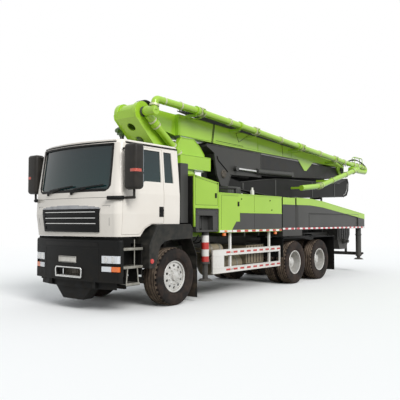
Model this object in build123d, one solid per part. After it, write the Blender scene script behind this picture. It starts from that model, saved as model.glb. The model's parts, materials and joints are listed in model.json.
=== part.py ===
from build123d import *
import math
import os

# Concrete pump truck with its boom folded. Sizes are in millimetres.
# X runs rearward from the front axle, Y to the truck's right, Z up from the ground.

# Running gear
wheelbase = 4640
tandem_gap = 1400
tyre_radius = 540
rim_radius = 288
front_tyre_width = 380
rear_tyre_width = 300
twin_tyre_gap = 44
front_outer_y = 1195
rear_outer_y = 1205
running_clearance = 0.3
wheel_wall = 12
kingpin_y = 850
kingpin_radius = 24
spindle_radius = 38
rear_spindle_radius = 50

# Ladder frame
frame_front = -1100
frame_rear = wheelbase + tandem_gap + 2160
frame_top = 1060
frame_depth = 300
frame_outer_y = 430
flange_width = 80
rail_wall = 10
subframe_height = 180

# Cab
cab_half_width = 1170
cab_roof_half_width = 1080
cab_rear = 120
cab_front = -1605
cab_floor = 1580
cab_skirt = 1310
cab_belt = 2060
cab_eaves = 2930
cab_roof = 3000
cab_wall = 50
arch_lift = 1525
tunnel_top = 1500
tunnel_half_width = 460
cab_mount_x = (-1050, cab_rear - 80)
seat_gap = 0.3
glass_inset = 20
glass_thickness = 6
grille_depth = 18
door_front = -1360
door_rear = -330
door_gap = 5

# Bumper and steps
bumper_top = 1265
bumper_bottom = 530
bumper_wall = 50
bumper_half_width = 1180
bumper_front = cab_front + 35
bumper_shoulder = bumper_front + 135
bumper_bend = 100
bumper_back = -1150
lamp_inner_y = 785
lamp_outer_y = 1160
lamp_split_y = 990
lamp_bed_z = (708, 997)
bar_inset = 75
lamp_depth = 25
step_front = -1350
step_rear = -880

# Body behind the cab
body_half_width = 1250
panel_inner_y = 1000
deck_top = 2120
skirt_bottom = 1340
locker_front = 440
locker_rear = 1260
mid_panel_rear = wheelbase - 790
hinge_post_front = wheelbase - 740
guard_front = 1130
guard_rear = mid_panel_rear
swing_pin_x = wheelbase + 80
hopper_front = frame_rear + 100
hopper_rear = hopper_front + 950
swing_beam_rear = hopper_rear - 130
swing_beam_width = 260
swing_beam_bottom = 1365
swing_pin_radius = 45
jack_x = hopper_rear - 320
rear_jack_y = -body_half_width + swing_beam_width / 2
front_jack_y = -body_half_width + 120

# Front outriggers, straight beams end to end across the frame
beam_width = 200
beam_height = 290
beam_bottom = 1385
beam_x = 960
beam_reach_inside = 1050
slide_clearance = 0.5
jack_radius = 75
jack_rod_radius = 55
jack_foot_bottom = 380
foot_radius = 150
foot_thickness = 40

# Hopper and pump
hopper_top = 1450
hopper_bottom = 700
hopper_half_width = 700
hopper_wall = 12
hopper_rim = 50
agitator_x = hopper_front + 400
agitator_z = 950
agitator_radius = 190
pump_z = 1460
pump_y = 170
pump_cylinder_radius = 115
drive_cylinder_radius = 75

# Slewing column
slew_x = 1350
ring_top = 2650
ring_radius = 430
turret_half_width = 300
turret_inner = 205
boom_pin_x = 0
boom_pin_z = 3760
nose_radius = 215
boom_pin_radius = 60

# Boom sections, their pins and their lanes across the truck
pin_2 = (9550, 3290)
pin_3 = (2700, 2700)
arm_3_swing = 410
pin_4 = (9700, 2750)
pin_5 = (3200, 2760)
arm_1_lane = (-300, 220)
arm_2_lane = (-340, 80)
arm_3_lane = (-290, 30)
arm_4_lane = (240, 430)
arm_5_lane = (450, 640)
fold_pin_radius = 50
lane_gap = 5
arm_3_bottom = ((5450, 2220), (9700, 2400))
boom_rest_x = frame_rear - 270

# Lift cylinder
lift_base = (1500, 2960)
lift_eye = (476, 3606)
lift_barrel_radius = 95
lift_rod_radius = 60
lift_pin_radius = 40
eye_radius = 85
eye_width = 110

# Delivery pipe
pipe_radius = 75
clamp_radius = 100
clamp_width = 70
turret_pipe_y = -395
arm_pipe_front_y = -600
arm_pipe_rear_y = -640
arm_2_pipe_y = -850
pipe_loop_x = 10780
pipe_loop_drop = 190

# The part's origin lies on the ground, midway between the grille and the boom's rear end
mid_x = (cab_front - grille_depth + pipe_loop_x + pipe_radius) / 2


def line_height(x, start, end):
    """Height at x on the line through two (x, z) points."""
    return start[1] + (end[1] - start[1]) * (x - start[0]) / (end[0] - start[0])


def block(x, y, z):
    """Solid box from three (low, high) pairs."""
    size = [high - low for low, high in (x, y, z)]
    middle = [(high + low) / 2 for low, high in (x, y, z)]
    return Pos(*middle) * Box(*size)


def side_plate(points, y):
    """Outline of (x, z) points, thick between two values of y."""
    face = make_face(Polyline(*[(px, y[0], pz) for px, pz in points], close=True))
    return extrude(face, amount=y[1] - y[0], dir=(0, 1, 0))


def plan_plate(points, z):
    """Outline of (x, y) points, thick between two values of z."""
    face = make_face(Polyline(*[(px, py, z[0]) for px, py in points], close=True))
    return extrude(face, amount=z[1] - z[0], dir=(0, 0, 1))


def front_plate(points, x):
    """Outline of (y, z) points, thick between two values of x."""
    face = make_face(Polyline(*[(x[0], py, pz) for py, pz in points], close=True))
    return extrude(face, amount=x[1] - x[0], dir=(1, 0, 0))


def cross_rod(x, z, radius, y):
    """Round bar along Y."""
    length = y[1] - y[0]
    return Pos(x, (y[0] + y[1]) / 2, z) * Rot(90, 0, 0) * Cylinder(radius, length)


def long_rod(y, z, radius, x):
    """Round bar along X."""
    length = x[1] - x[0]
    return Pos((x[0] + x[1]) / 2, y, z) * Rot(0, 90, 0) * Cylinder(radius, length)


def upright(x, y, radius, z):
    """Round bar along Z."""
    length = z[1] - z[0]
    return Pos(x, y, (z[0] + z[1]) / 2) * Cylinder(radius, length)


def slanted_rod(start, end, radius, y):
    """Round bar in a plane of constant y between two (x, z) points."""
    path = Line((start[0], y, start[1]), (end[0], y, end[1]))
    return sweep(Plane(origin=path @ 0, z_dir=path % 0) * Circle(radius), path=path)


def pipe(points, radius, bend):
    """Pipe along straight runs joined by bends."""
    path = FilletPolyline(*points, radius=bend) if len(points) > 2 else Line(*points)
    return sweep(Plane(origin=path @ 0, z_dir=path % 0) * Circle(radius), path=path)


def bent_sheet(points, thickness, y):
    """Sheet of even thickness that follows (x, z) points, inside to their left."""
    inner = []
    for i, here in enumerate(points):
        before = points[max(i - 1, 0)]
        after = points[min(i + 1, len(points) - 1)]
        normals = []
        for a, b in ((before, here), (here, after)):
            length = math.dist(a, b)
            if length > 0:
                normals.append(((b[1] - a[1]) / length, (a[0] - b[0]) / length))
        nx = sum(n[0] for n in normals) / len(normals)
        nz = sum(n[1] for n in normals) / len(normals)
        scale = thickness / (nx * nx + nz * nz)
        inner.append((here[0] + nx * scale, here[1] + nz * scale))
    return side_plate(list(points) + inner[::-1], y)


def sorted_pair(a, b):
    """Two values, the smaller first."""
    return (min(a, b), max(a, b))


def at_y(point, y):
    """The (x, z) point in the plane of a y."""
    return (point[0], y, point[1])


def mirrored(shape):
    """The same shape on the truck's other side."""
    return mirror(shape, about=Plane.XZ)


def spin_about_axle(profile, x, z):
    """Ring from a profile of (radius, y) points round an axle at (x, z)."""
    face = make_face(Polyline(*[(0, py, radius) for radius, py in profile], close=True))
    return Pos(x, 0, z) * revolve(face, axis=Axis.Y)


# Wheels

def tyre(x, outer_y, width):
    """Tyre on the left side, with rounded shoulders and bulged side walls."""
    middle = -outer_y + width / 2
    half = width / 2
    bore = rim_radius + running_clearance
    outline = [  # radius, share of half width
        (bore, 0.74), (bore + 60, 0.95), (tyre_radius * 0.79, 1.0), (tyre_radius * 0.94, 0.93),
        (tyre_radius, 0.80),
    ]
    side = [(radius, middle + share * half) for radius, share in outline]
    other = [(radius, middle - share * half) for radius, share in reversed(outline)]
    return spin_about_axle(side + other, x, tyre_radius)


def rim(x, outer_y, width, disc_y, disc_dish, hub_end):
    """Rim barrel with flanges, a dished disc with hand holes and a hub."""
    middle = -outer_y + width / 2
    half = width / 2 * 0.72
    inner = rim_radius - wheel_wall
    barrel = spin_about_axle(
        [(rim_radius, middle - half), (rim_radius, middle + half),
         (inner, middle + half), (inner, middle - half)], x, tyre_radius)
    disc = spin_about_axle(
        [(0, disc_y - disc_dish), (120, disc_y - disc_dish), (inner, disc_y),
         (inner, disc_y + wheel_wall), (120, disc_y - disc_dish + wheel_wall),
         (0, disc_y - disc_dish + wheel_wall)], x, tyre_radius)
    hand_holes = [
        Pos(x + 205 * math.sin(turn), disc_y, tyre_radius + 205 * math.cos(turn))
        * Rot(90, 0, 0) * Cylinder(26, 200)
        for turn in [math.radians(36 * i) for i in range(10)]
    ]
    hub = cross_rod(x, tyre_radius, 105, (disc_y - disc_dish, hub_end))
    return barrel + (disc - hand_holes) + hub


def front_wheel():
    """Left front tyre and rim with the spindle's bore."""
    disc_y = -front_outer_y + 75
    hub_end = -kingpin_y - 75
    spindle_bore = cross_rod(
        0, tyre_radius, spindle_radius + running_clearance, (disc_y, hub_end + 1))
    wheel = rim(0, front_outer_y, front_tyre_width, disc_y, 25, hub_end) - spindle_bore
    return tyre(0, front_outer_y, front_tyre_width), wheel


def rear_wheel(x):
    """Left twin tyres and their two rims, which meet at the middle plane."""
    second_y = rear_outer_y - rear_tyre_width - twin_tyre_gap
    tyres = Compound([tyre(x, rear_outer_y, rear_tyre_width), tyre(x, second_y, rear_tyre_width)])
    middle = -second_y - twin_tyre_gap / 2
    outer_barrel_y = -rear_outer_y + rear_tyre_width * 0.14
    inner_barrel_y = -second_y + rear_tyre_width * 0.86
    inner = rim_radius - wheel_wall
    barrel = spin_about_axle(
        [(rim_radius, outer_barrel_y), (rim_radius, inner_barrel_y),
         (inner, inner_barrel_y), (inner, outer_barrel_y)], x, tyre_radius)
    disc = spin_about_axle(
        [(0, middle - 60), (150, middle - 60), (inner, middle), (inner, middle + 20),
         (150, middle - 40), (0, middle - 40)], x, tyre_radius)
    hand_holes = [
        Pos(x + 215 * math.sin(turn), middle, tyre_radius + 215 * math.cos(turn))
        * Rot(90, 0, 0) * Cylinder(28, 200)
        for turn in [math.radians(36 * i) for i in range(10)]
    ]
    hub = cross_rod(x, tyre_radius, 120, (middle - 190, middle + 60))
    spindle_bore = cross_rod(
        x, tyre_radius, rear_spindle_radius + running_clearance, (middle - 150, middle + 61))
    return tyres, barrel + (disc - hand_holes) + hub - spindle_bore


def knuckle():
    """Left steering knuckle: two lugs round the kingpin, a flange and the spindle."""
    lug_gap = 85
    upper = upright(0, -kingpin_y, 55, (tyre_radius + lug_gap, tyre_radius + lug_gap + 50))
    lower = upright(0, -kingpin_y, 55, (tyre_radius - lug_gap - 50, tyre_radius - lug_gap))
    pin = upright(0, -kingpin_y, kingpin_radius, (tyre_radius - lug_gap, tyre_radius + lug_gap))
    flange = block((-55, 55), (-kingpin_y - 72, -kingpin_y - 52),
                   (tyre_radius - lug_gap - 50, tyre_radius + lug_gap + 50))
    webs = [block((-40, 40), (-kingpin_y - 60, -kingpin_y - 20), z) for z in
            ((tyre_radius + lug_gap, tyre_radius + lug_gap + 50),
             (tyre_radius - lug_gap - 50, tyre_radius - lug_gap))]
    spindle = cross_rod(0, tyre_radius, spindle_radius, (-front_outer_y + 90, -kingpin_y - 60))
    return upper + lower + pin + flange + webs + spindle


# Chassis

def chassis_frame():
    """Two channel rails joined by cross members."""
    rail = block((frame_front, frame_rear), (-frame_outer_y, -frame_outer_y + flange_width),
                 (frame_top - frame_depth, frame_top))
    channel = block((frame_front - 1, frame_rear + 1),
                    (-frame_outer_y + rail_wall, -frame_outer_y + flange_width + 1),
                    (frame_top - frame_depth + rail_wall, frame_top - rail_wall))
    rail = rail - channel
    frame = rail + mirrored(rail)
    inside = frame_outer_y - rail_wall
    for x, depth in ((frame_front + 40, 200), (1150, 150), (2300, 150), (wheelbase - 940, 150),
                     (wheelbase + tandem_gap / 2, 240), (frame_rear - 1300, 150), (frame_rear - 60, 260)):
        middle = frame_top - frame_depth / 2
        frame += block((x - 40, x + 40), (-inside, inside), (middle - depth / 2, middle + depth / 2))
    for x in cab_mount_x:
        post = block((x - 35, x + 35), (-frame_outer_y + 5, -frame_outer_y + 75),
                     (frame_top - 5, tunnel_top - seat_gap))
        frame += post + mirrored(post)
    return frame


def front_axle():
    """Forged beam with kingpin bosses and its two leaf springs with their hangers."""
    beam_half = 55
    outline = [(-kingpin_y + 60, 600), (-500, 560), (-380, 470), (380, 470), (500, 560),
               (kingpin_y - 60, 600), (kingpin_y - 60, 480), (480, 440), (400, 360),
               (-400, 360), (-480, 440), (-kingpin_y + 60, 480)]
    beam = front_plate(outline, (-beam_half, beam_half))
    boss_half = 85 - running_clearance
    for side in (-1, 1):
        beam += upright(0, side * kingpin_y, 50, (tyre_radius - boss_half, tyre_radius + boss_half))
        beam += block((-45, 45), (side * kingpin_y - 30 - side * 30, side * kingpin_y + 30 - side * 30),
                      (485, 595))
    for side in (-1, 1):
        beam -= upright(0, side * kingpin_y, kingpin_radius + running_clearance,
                        (tyre_radius - 200, tyre_radius + 200))
    leaves = [  # half length, bottom, top
        (780, 620, 638), (640, 602, 620), (500, 584, 602), (360, 566, 584)]
    seat = block((-70, 70), (-430, -350), (440, 566))
    spring = seat
    for half, low, high in leaves:
        spring += block((-half, half), (-430, -350), (low, high))
    for x in (-760, 760):
        spring += block((x - 30, x + 30), (-430, -350), (638, frame_top - frame_depth))
    return beam + spring + mirrored(spring)


def rear_axles():
    """Two axle housings with their tandem spring packs."""
    middle = -rear_outer_y + rear_tyre_width + twin_tyre_gap / 2
    half_length = -middle - 61
    parts = []
    for x in (wheelbase, wheelbase + tandem_gap):
        housing = cross_rod(x, tyre_radius, 90, (-half_length, half_length))
        housing += cross_rod(x, tyre_radius, rear_spindle_radius, (middle - 140, -middle + 140))
        differential = Pos(x, 0, tyre_radius) * Sphere(225)
        parts.append(housing + differential)
    centre = wheelbase + tandem_gap / 2
    spring = block((wheelbase - 60, wheelbase + 60), (-530, -440), (600, 690))
    spring += block((wheelbase + tandem_gap - 60, wheelbase + tandem_gap + 60), (-530, -440), (600, 690))
    for half, low, high in ((780, 690, 720), (600, 720, 750), (420, 750, 780), (240, 780, 810)):
        spring += block((centre - half, centre + half), (-530, -440), (low, high))
    spring += block((centre - 110, centre + 110), (-530, -430), (810, 930))
    axles = parts[0] + parts[1] + spring + mirrored(spring)
    return axles


def engine_block():
    """Engine and gearbox as plain blocks between the rails, with the radiator in front."""
    engine = block((-850, 350), (-330, 330), (650, 1340))
    gearbox = block((350, 1050), (-220, 220), (700, 1150))
    for x in (-600, 150):
        engine += block((x - 60, x + 60), (-415, 415), (frame_top, frame_top + 60))
    radiator = block((-1190, -1110), (-345, 345), (560, tunnel_top - 60))
    duct = block((-1110, -850), (-300, 300), (1080, 1240))
    return engine + gearbox + radiator + duct


# Cab

def cab_outline(inset, z, half_width, front, corner):
    """Plan of the cab at one height: curved front, rounded corners, straight sides."""
    w = half_width - inset
    nose = front + inset
    shoulder = front + corner + inset
    rear = cab_rear - inset
    bend = 130
    side_l = Line((rear, -w, z), (shoulder + bend, -w, z))
    corner_l = ThreePointArc((shoulder + bend, -w, z), (shoulder + bend * 0.33, -w + bend * 0.3, z),
                             (shoulder, -w + bend, z))
    nose_arc = ThreePointArc((shoulder, -w + bend, z), (nose, 0, z), (shoulder, w - bend, z))
    corner_r = ThreePointArc((shoulder, w - bend, z), (shoulder + bend * 0.33, w - bend * 0.3, z),
                             (shoulder + bend, w, z))
    side_r = Line((shoulder + bend, w, z), (rear, w, z))
    back = Line((rear, w, z), (rear, -w, z))
    return make_face([side_l, corner_l, nose_arc, corner_r, side_r, back])


def cab_form(inset):
    """Closed cab body at a depth below its skin, lofted through its levels."""
    levels = [  # z, half width, front, corner set-back
        (cab_skirt - max(inset, 0), cab_half_width - 20, cab_front + 40, 120),
        (cab_belt - 360, cab_half_width, cab_front, 120),
        (cab_belt, cab_half_width, cab_front + 20, 120),
        (cab_eaves, cab_roof_half_width + 15, cab_front + 110, 130),
        (cab_roof - inset, cab_roof_half_width - 50, cab_front + 165, 150),
    ]
    sections = [cab_outline(inset, z, half, front, corner) for z, half, front, corner in levels]
    return loft(sections, ruled=True)


def door_opening(gap):
    """Side outline of the left door, larger than the door by the gap, twice that behind it."""
    return [
        (door_front - gap, cab_skirt + 40 - gap), (door_front - gap, cab_belt + 70),
        (door_front + 150 - gap, cab_eaves - 40 + gap), (door_rear + 2 * gap, cab_eaves - 40 + gap),
        (door_rear + 2 * gap, arch_lift + 15 - gap), (2 * gap - 640, arch_lift + 15 - gap),
        (2 * gap - 820, arch_lift - 55 - gap), (2 * gap - 940, cab_skirt + 40 - gap),
    ]


def door_window():
    """Side outline of the window in the left door."""
    sill = cab_belt + 225
    return [(-1235, cab_belt + 50), (-1220, cab_belt + 120), (-1100, cab_eaves - 75),
            (door_rear - 42, cab_eaves - 75), (door_rear - 50, sill), (-800, sill), (-970, cab_belt + 75)]


def cab():
    """Cab shell, its panes, the left door and the door's pane."""
    outer = cab_form(0)
    inner = cab_form(cab_wall)
    room = inner & block((cab_front, cab_rear), (-1300, 1300), (cab_floor, cab_roof))
    wall = outer - room
    arch = side_plate([(-940, cab_skirt - 20), (-820, arch_lift - 85), (-640, arch_lift),
                       (cab_rear + 20, arch_lift), (cab_rear + 20, cab_skirt - 20)],
                      (-1300, 1 - tunnel_half_width))
    tunnel = block((-1250, cab_rear + 20), (-tunnel_half_width, tunnel_half_width),
                   (cab_skirt - 20, tunnel_top))
    shell = wall - arch - mirrored(arch) - tunnel
    doorway = side_plate(door_opening(door_gap), (-1300, -850))
    screen_side = [(870, cab_belt + 35), (965, cab_belt + 120), (945, cab_eaves - 8)]
    screen_outline = screen_side + [(-y, z) for y, z in reversed(screen_side)]
    windscreen = front_plate(screen_outline, (cab_front - 50, cab_front + 420))
    quarter = side_plate([(door_rear + 45, cab_belt + 225), (door_rear + 52, cab_eaves - 75),
                          (cab_rear - 180, cab_eaves - 75), (cab_rear - 158, cab_belt + 225)], (-1300, -850))
    back_window = block((cab_rear - 100, cab_rear + 50), (-420, 420), (2250, 2700))
    openings = [doorway, mirrored(doorway), windscreen, quarter, mirrored(quarter), back_window]
    shell = shell - openings
    pane_skin = cab_form(glass_inset) - cab_form(glass_inset + glass_thickness)
    panes = [pane_skin & windscreen, pane_skin & quarter, pane_skin & mirrored(quarter),
             pane_skin & back_window]
    door_panel = side_plate(door_opening(0), (-1300, -850))
    door_glass_cut = side_plate(door_window(), (-1300, -850))
    door = (outer & door_panel) - inner - door_glass_cut
    door_pane = pane_skin & door_glass_cut
    return shell, Compound(children=[p.solid() for p in panes]), door, door_pane


def cab_interior():
    """Two seats, the dashboard and the steering wheel."""
    pieces = []
    for y in (-560, 560):
        base = block((-620, -320), (y - 180, y + 180), (cab_floor, cab_floor + 200))
        cushion = block((-760, -260), (y - 250, y + 250), (cab_floor + 200, cab_floor + 340))
        back = side_plate([(-300, cab_floor + 340), (-170, cab_floor + 980), (-70, cab_floor + 980),
                           (-180, cab_floor + 270)],
                          (y - 250, y + 250))
        pieces.append((base + cushion + back).solid())
    low = cab_floor + 200
    dash = side_plate([(-1395, low), (-1400, low + 270), (-1130, low + 300), (-1060, low + 180),
                       (-1180, low)], (-860, 860))
    legs = [block((-1385, -1320), (y - 60, y + 60), (cab_floor, low + 10)) for y in (-700, 700)]
    column = slanted_rod((-1180, low + 20), (-870, low + 295), 30, -560)
    wheel = Pos(-860, -560, low + 305) * Rot(0, -50, 0) * Torus(215, 18)
    spoke = Pos(-860, -560, low + 305) * Rot(0, -50, 0) * Box(40, 420, 16)
    pieces.append((dash + legs + column + wheel + spoke).solid())
    return Compound(children=pieces)


def bumper_form(inset, low, high):
    """Solid of the bumper's plan, at a depth below its skin, between two heights."""
    w = bumper_half_width - inset
    nose = bumper_front + inset
    shoulder = bumper_shoulder + inset
    bend = bumper_bend
    z = low
    edges = [
        Line((bumper_back, -w, z), (shoulder + bend, -w, z)),
        ThreePointArc((shoulder + bend, -w, z), (shoulder + bend * 0.29, -w + bend * 0.29, z),
                      (shoulder, -w + bend, z)),
        ThreePointArc((shoulder, -w + bend, z), (nose, 0, z), (shoulder, w - bend, z)),
        ThreePointArc((shoulder, w - bend, z), (shoulder + bend * 0.29, w - bend * 0.29, z),
                      (shoulder + bend, w, z)),
        Line((shoulder + bend, w, z), (bumper_back, w, z)),
        Line((bumper_back, w, z), (bumper_back, -w, z)),
    ]
    return extrude(make_face(edges), amount=high - low, dir=(0, 0, 1))


def bumper():
    """Front bumper with lamp recesses, a step opening, a lower bar, a skid and its brackets."""
    outer = bumper_form(0, bumper_bottom, bumper_top)
    outer = fillet(outer.edges().group_by(Axis.Z)[-1], 45)
    inner = bumper_form(bumper_wall, bumper_bottom - 1, bumper_top - 60)
    inner += block((-1400, bumper_back + 1), (-1000, 1000), (bumper_bottom - 1, bumper_top - 60))
    body = outer - inner - block((step_front - 6, bumper_back + 1), (-1300, 1300), (500, bumper_top + 1))
    body = body - block((-1700, -1380), (-360, 330), (595, 745))
    body += block((-1400, -1380), (-1090, 1090), (bumper_top - 50, cab_skirt - 10))
    lamp_wall = bumper_form(-5, *lamp_bed_z) - bumper_form(lamp_depth, *lamp_bed_z)
    for side in (-1, 1):
        bed = block((-1700, step_front - 10), sorted_pair(side * lamp_inner_y, side * lamp_outer_y), lamp_bed_z)
        body = body - (bed & lamp_wall)
        body += block((-1510, frame_front), sorted_pair(side * 355, side * 425), (820, 920))
    bar = bumper_form(bar_inset, 405, 520) - bumper_form(bar_inset + 60, 404, 521)
    bar = bar - block((step_front - 6, bumper_back + 1), (-1300, 1300), (300, 600))
    for side in (-1, 1):
        bar += block((-1500, -1420), sorted_pair(side * 560, side * 640), (415, 700))
    skid = front_plate([(-500, 425), (-275, 190), (275, 190), (500, 425)], (-1455, -1250))
    return body + bar + skid


def head_lamps():
    """Lamp units in the bumper's recesses, an upper row and a lower row on each side."""
    skin = bumper_form(3, *lamp_bed_z) - bumper_form(lamp_depth, *lamp_bed_z)
    pieces = []
    for side in (-1, 1):
        for y_near, y_far, z_low, z_high in (  # share of the recess each unit fills
                (lamp_inner_y + 10, lamp_outer_y - 10, lamp_bed_z[1] - 139, lamp_bed_z[1] - 8),
                (lamp_inner_y + 10, lamp_split_y - 5, lamp_bed_z[0] + 8, lamp_bed_z[0] + 98),
                (lamp_split_y + 5, lamp_outer_y - 10, lamp_bed_z[0] + 8, lamp_bed_z[0] + 98)):
            lamp = block((-1700, step_front - 10), sorted_pair(side * y_near, side * y_far), (z_low, z_high))
            pieces.append((lamp & skin).solid())
    return Compound(children=pieces)


def grille():
    """Radiator grille: a frame with slats on the curved front."""
    skin = cab_form(-grille_depth) - cab_form(0)
    frame = front_plate([(-755, 1385), (-790, 1790), (790, 1790), (755, 1385)],
                        (cab_front - 100, cab_front + 250))
    slots = [block((cab_front - 100, cab_front + 250), (-700, 700), (z, z + 60))
             for z in (1430, 1520, 1610, 1700)]
    slatted = skin & frame
    thin = cab_form(-8)
    return slatted - [slot - thin for slot in slots]


def cab_steps():
    """Step frames on both sides with three treads, hung from the rails."""
    step = block((step_front, step_front + 25), (-1160, -900), (640, 1180))
    step += block((step_rear - 25, step_rear), (-1160, -900), (640, 1180))
    for x_low, x_high, z in ((step_front, step_rear, 1100), (step_front, step_rear, 790),
                             (step_front + 60, step_rear - 70, 500)):
        step += block((x_low, x_high), (-1170, -920), (z - 30, z))
    for x in (step_front + 70, step_rear - 110):
        step += block((x, x + 25), (-1150, -930), (490, 770))
    step += block((step_front, step_rear), (-930, -905), (760, 1100))
    step += block((-1090, -1040), (-910, -frame_outer_y), (850, 930))
    return step + mirrored(step)


def front_mudguards():
    """Wheel arches with a broad side face, and a flap behind the wheel on a bar from the rail."""
    crown = arch_lift - 17
    line = [(-775, 745), (-775, 1150), (-713, 1270), (-640, 1395), (-563, crown - 15), (-480, crown),
            (355, crown), (405, crown - 78), (405, 1250)]
    under = [(-200, 1242), (-385, 1211), (-495, 1138), (-540, 1036), (-592, 861), (-646, 745)]
    sheet = bent_sheet(line[::-1], 14, (-1245, -835))
    face = side_plate(line + under, (-1245, -1231))
    flap = bent_sheet([(660, 90), (660, 900), (480, 1250), (340, crown - 3)], 14, (-1150, -835))
    bar = block((655, 690), (-860, -frame_outer_y), (850, 900))
    arch = sheet + face + flap + bar
    return arch + mirrored(arch)


def mirror_unit():
    """Left door mirror with its two arms."""
    skin = cab_half_width + seat_gap
    arm_top = cab_eaves - 90
    skin_top = line_height(arm_top - 40, (cab_belt, cab_half_width), (cab_eaves, cab_roof_half_width + 15))
    housing = block((-1410, -1190), (-skin - 345, -skin - 50), (cab_belt + 50, cab_eaves - 50))
    housing = fillet(housing.edges().filter_by(Axis.Z), 50)
    upper = block((-1330, -1270), (-skin - 70, 2.6 - skin_top), (arm_top - 40, arm_top))
    lower = block((-1330, -1270), (-skin - 230, -skin), (cab_belt - 110, cab_belt - 60))
    drop = block((-1330, -1270), (-skin - 230, -skin - 180), (cab_belt - 70, cab_belt + 70))
    return housing + upper + lower + drop


# Body between cab and hopper

def body_frame():
    """Subframe with the front outriggers' sleeve, hinge posts, deck and boom rest."""
    top = frame_top + subframe_height
    rail = block((1120, frame_rear), (-410, -290), (frame_top, top))
    frame = rail + mirrored(rail)
    frame += block((780, 1140), (-410, 410), (top - 60, beam_bottom - 40))
    sleeve = block((820, 1100), (-1000, 1000), (beam_bottom - 40, beam_bottom + beam_height + 40))
    sleeve -= block((beam_x - beam_width / 2 - slide_clearance, beam_x + beam_width / 2 + slide_clearance),
                    (-1100, 1100),
                    (beam_bottom - slide_clearance, beam_bottom + beam_height + slide_clearance))
    frame += sleeve
    for x in (1900, 3000, 5350, 6800):
        frame += block((x - 60, x + 60), (-410, 410), (top - 100, top))
    # Hinge posts carry the rear outriggers between an upper and a lower fork plate
    fork_end = swing_pin_x + swing_beam_width / 2
    post = block((hinge_post_front, swing_pin_x - 190), (-body_half_width, -410), (1210, 2165))
    post = post - block((hinge_post_front - 1, swing_pin_x - 260), (-body_half_width + 150, -409), (1400, 2166))
    post += block((swing_pin_x - 200, fork_end + 40), (-body_half_width, -960),
                  (1210, swing_beam_bottom - running_clearance))
    post += upright(swing_pin_x, -body_half_width + swing_beam_width / 2, swing_pin_radius,
                    (1300, 2120))
    frame += post + mirrored(post)
    # Deck plates on posts over the subframe
    deck_edge = panel_inner_y - seat_gap
    frame += block((1900, mid_panel_rear), (-deck_edge, deck_edge), (deck_top - 30, deck_top))
    for x in (2000, mid_panel_rear - 100):
        for y in (-380, 340):
            frame += block((x - 20, x + 20), (y, y + 40), (top, deck_top - 20))
    for x in (2000, 2600, 3200, mid_panel_rear - 100):
        frame += block((x - 30, x + 30), (-deck_edge, deck_edge), (top, top + 90))
    # Boom rest
    rest_x = (boom_rest_x - 30, boom_rest_x + 30)
    rest_top = line_height(rest_x[0], *arm_3_bottom) - seat_gap
    for y in (-360, 0):
        frame += block(rest_x, (y, y + 40), (top - 10, rest_top - 20))
    frame += block(rest_x, (-360, 40), (rest_top - 60, rest_top))
    return frame


def side_lockers():
    """Front lockers and mid panels on both sides."""
    locker = side_plate([(locker_front, 1830), (locker_front, 2490), (locker_rear, 2370),
                         (locker_rear, 1830)], (-body_half_width, -800))
    strip = side_plate([(locker_front, 1840), (495, 1840), (495, 1470), (475, 1470)],
                       (-body_half_width, -1020))
    inner_wall = block((locker_front, locker_rear), (-1004, -1000.3), (1700, 1840))
    panel = side_plate([(locker_rear + seat_gap, skirt_bottom), (locker_rear + seat_gap, 2170), (mid_panel_rear, 2170),
                        (mid_panel_rear, skirt_bottom)], (-body_half_width, -panel_inner_y))
    left = locker + strip + inner_wall + panel
    return left + mirrored(left)


def side_guards():
    """Side underrun guards: two rails, an end plate and hanging posts."""
    guard = block((guard_front, guard_rear), (-1200, -1170), (860, 985))
    guard += block((guard_front, guard_rear), (-1200, -1170), (500, 620))
    guard += block((guard_front, guard_front + 390), (-1200, -1170), (500, 985))
    guard += block((guard_rear - 30, guard_rear), (-1200, -1170), (500, 985))
    for x in (1770, 3380):
        guard += block((x, x + 60), (-1170, -1130), (500, skirt_bottom - seat_gap))
    return guard + mirrored(guard)


def rear_mudguards():
    """Covers over the rear wheels with flaps behind."""
    front = wheelbase - 690
    rear = wheelbase + tandem_gap + 860
    outer = -body_half_width + 20
    guard = block((front, rear), (outer, -560), (1150, 1166))
    guard += block((rear - 20, rear), (outer + 10, -580), (200, 1160))
    guard += block((front, front + 16), (outer + 10, -580), (700, 1160))
    for x in (front + 150, wheelbase + tandem_gap / 2, rear - 200):
        guard += block((x - 25, x + 25), (-620, -410), (1166, 1210))
    return guard + mirrored(guard)


def tanks():
    """Air tanks and silencer on the left, fuel tank on the right."""
    air = long_rod(-820, 640, 210, (1350, 2450)) + block((1500, 1560), (-720, -frame_outer_y), (700, 900))
    air += block((2200, 2260), (-720, -frame_outer_y), (700, 900))
    round_tank = long_rod(-960, 980, 120, (1150, 1650))
    round_tank += block((1300, 1360), (-900, -frame_outer_y), (960, 1010))
    battery = block((2560, 3300), (-1060, -frame_outer_y), (620, 1040))
    fuel = block((1400, 3000), (frame_outer_y, 1100), (480, 1040))
    fuel = fillet(fuel.edges().filter_by(Axis.X), 80)
    return Compound(children=[air.solid(), round_tank.solid(), battery.solid(), fuel.solid()])


def intake_stack():
    """Air intake and exhaust stand behind the cab, on the rails."""
    stack = block((200, 425), (-1120, -520), (1545, 2700))
    stack += block((340, 415), (-560, -480), (1150, 1560)) + block((340, 415), (-560, -360), (frame_top, 1160))
    exhaust = block((330, 430), (520, 900), (1560, 2500))
    exhaust += block((340, 415), (480, 560), (1150, 1600)) + block((340, 415), (360, 560), (frame_top, 1160))
    return Compound(children=[stack.solid(), exhaust.solid()])


def pedestal():
    """Support for the slewing ring, a box that narrows to a drum."""
    base = block((1140, 1880), (-410, 410), (frame_top + subframe_height, 1760))
    drum = Pos(slew_x, 0, (1760 + ring_top - 60) / 2) * Cone(430, 370, ring_top - 60 - 1760)
    ring = upright(slew_x, 0, ring_radius, (ring_top - 60, ring_top))
    return base + drum + ring


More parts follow.
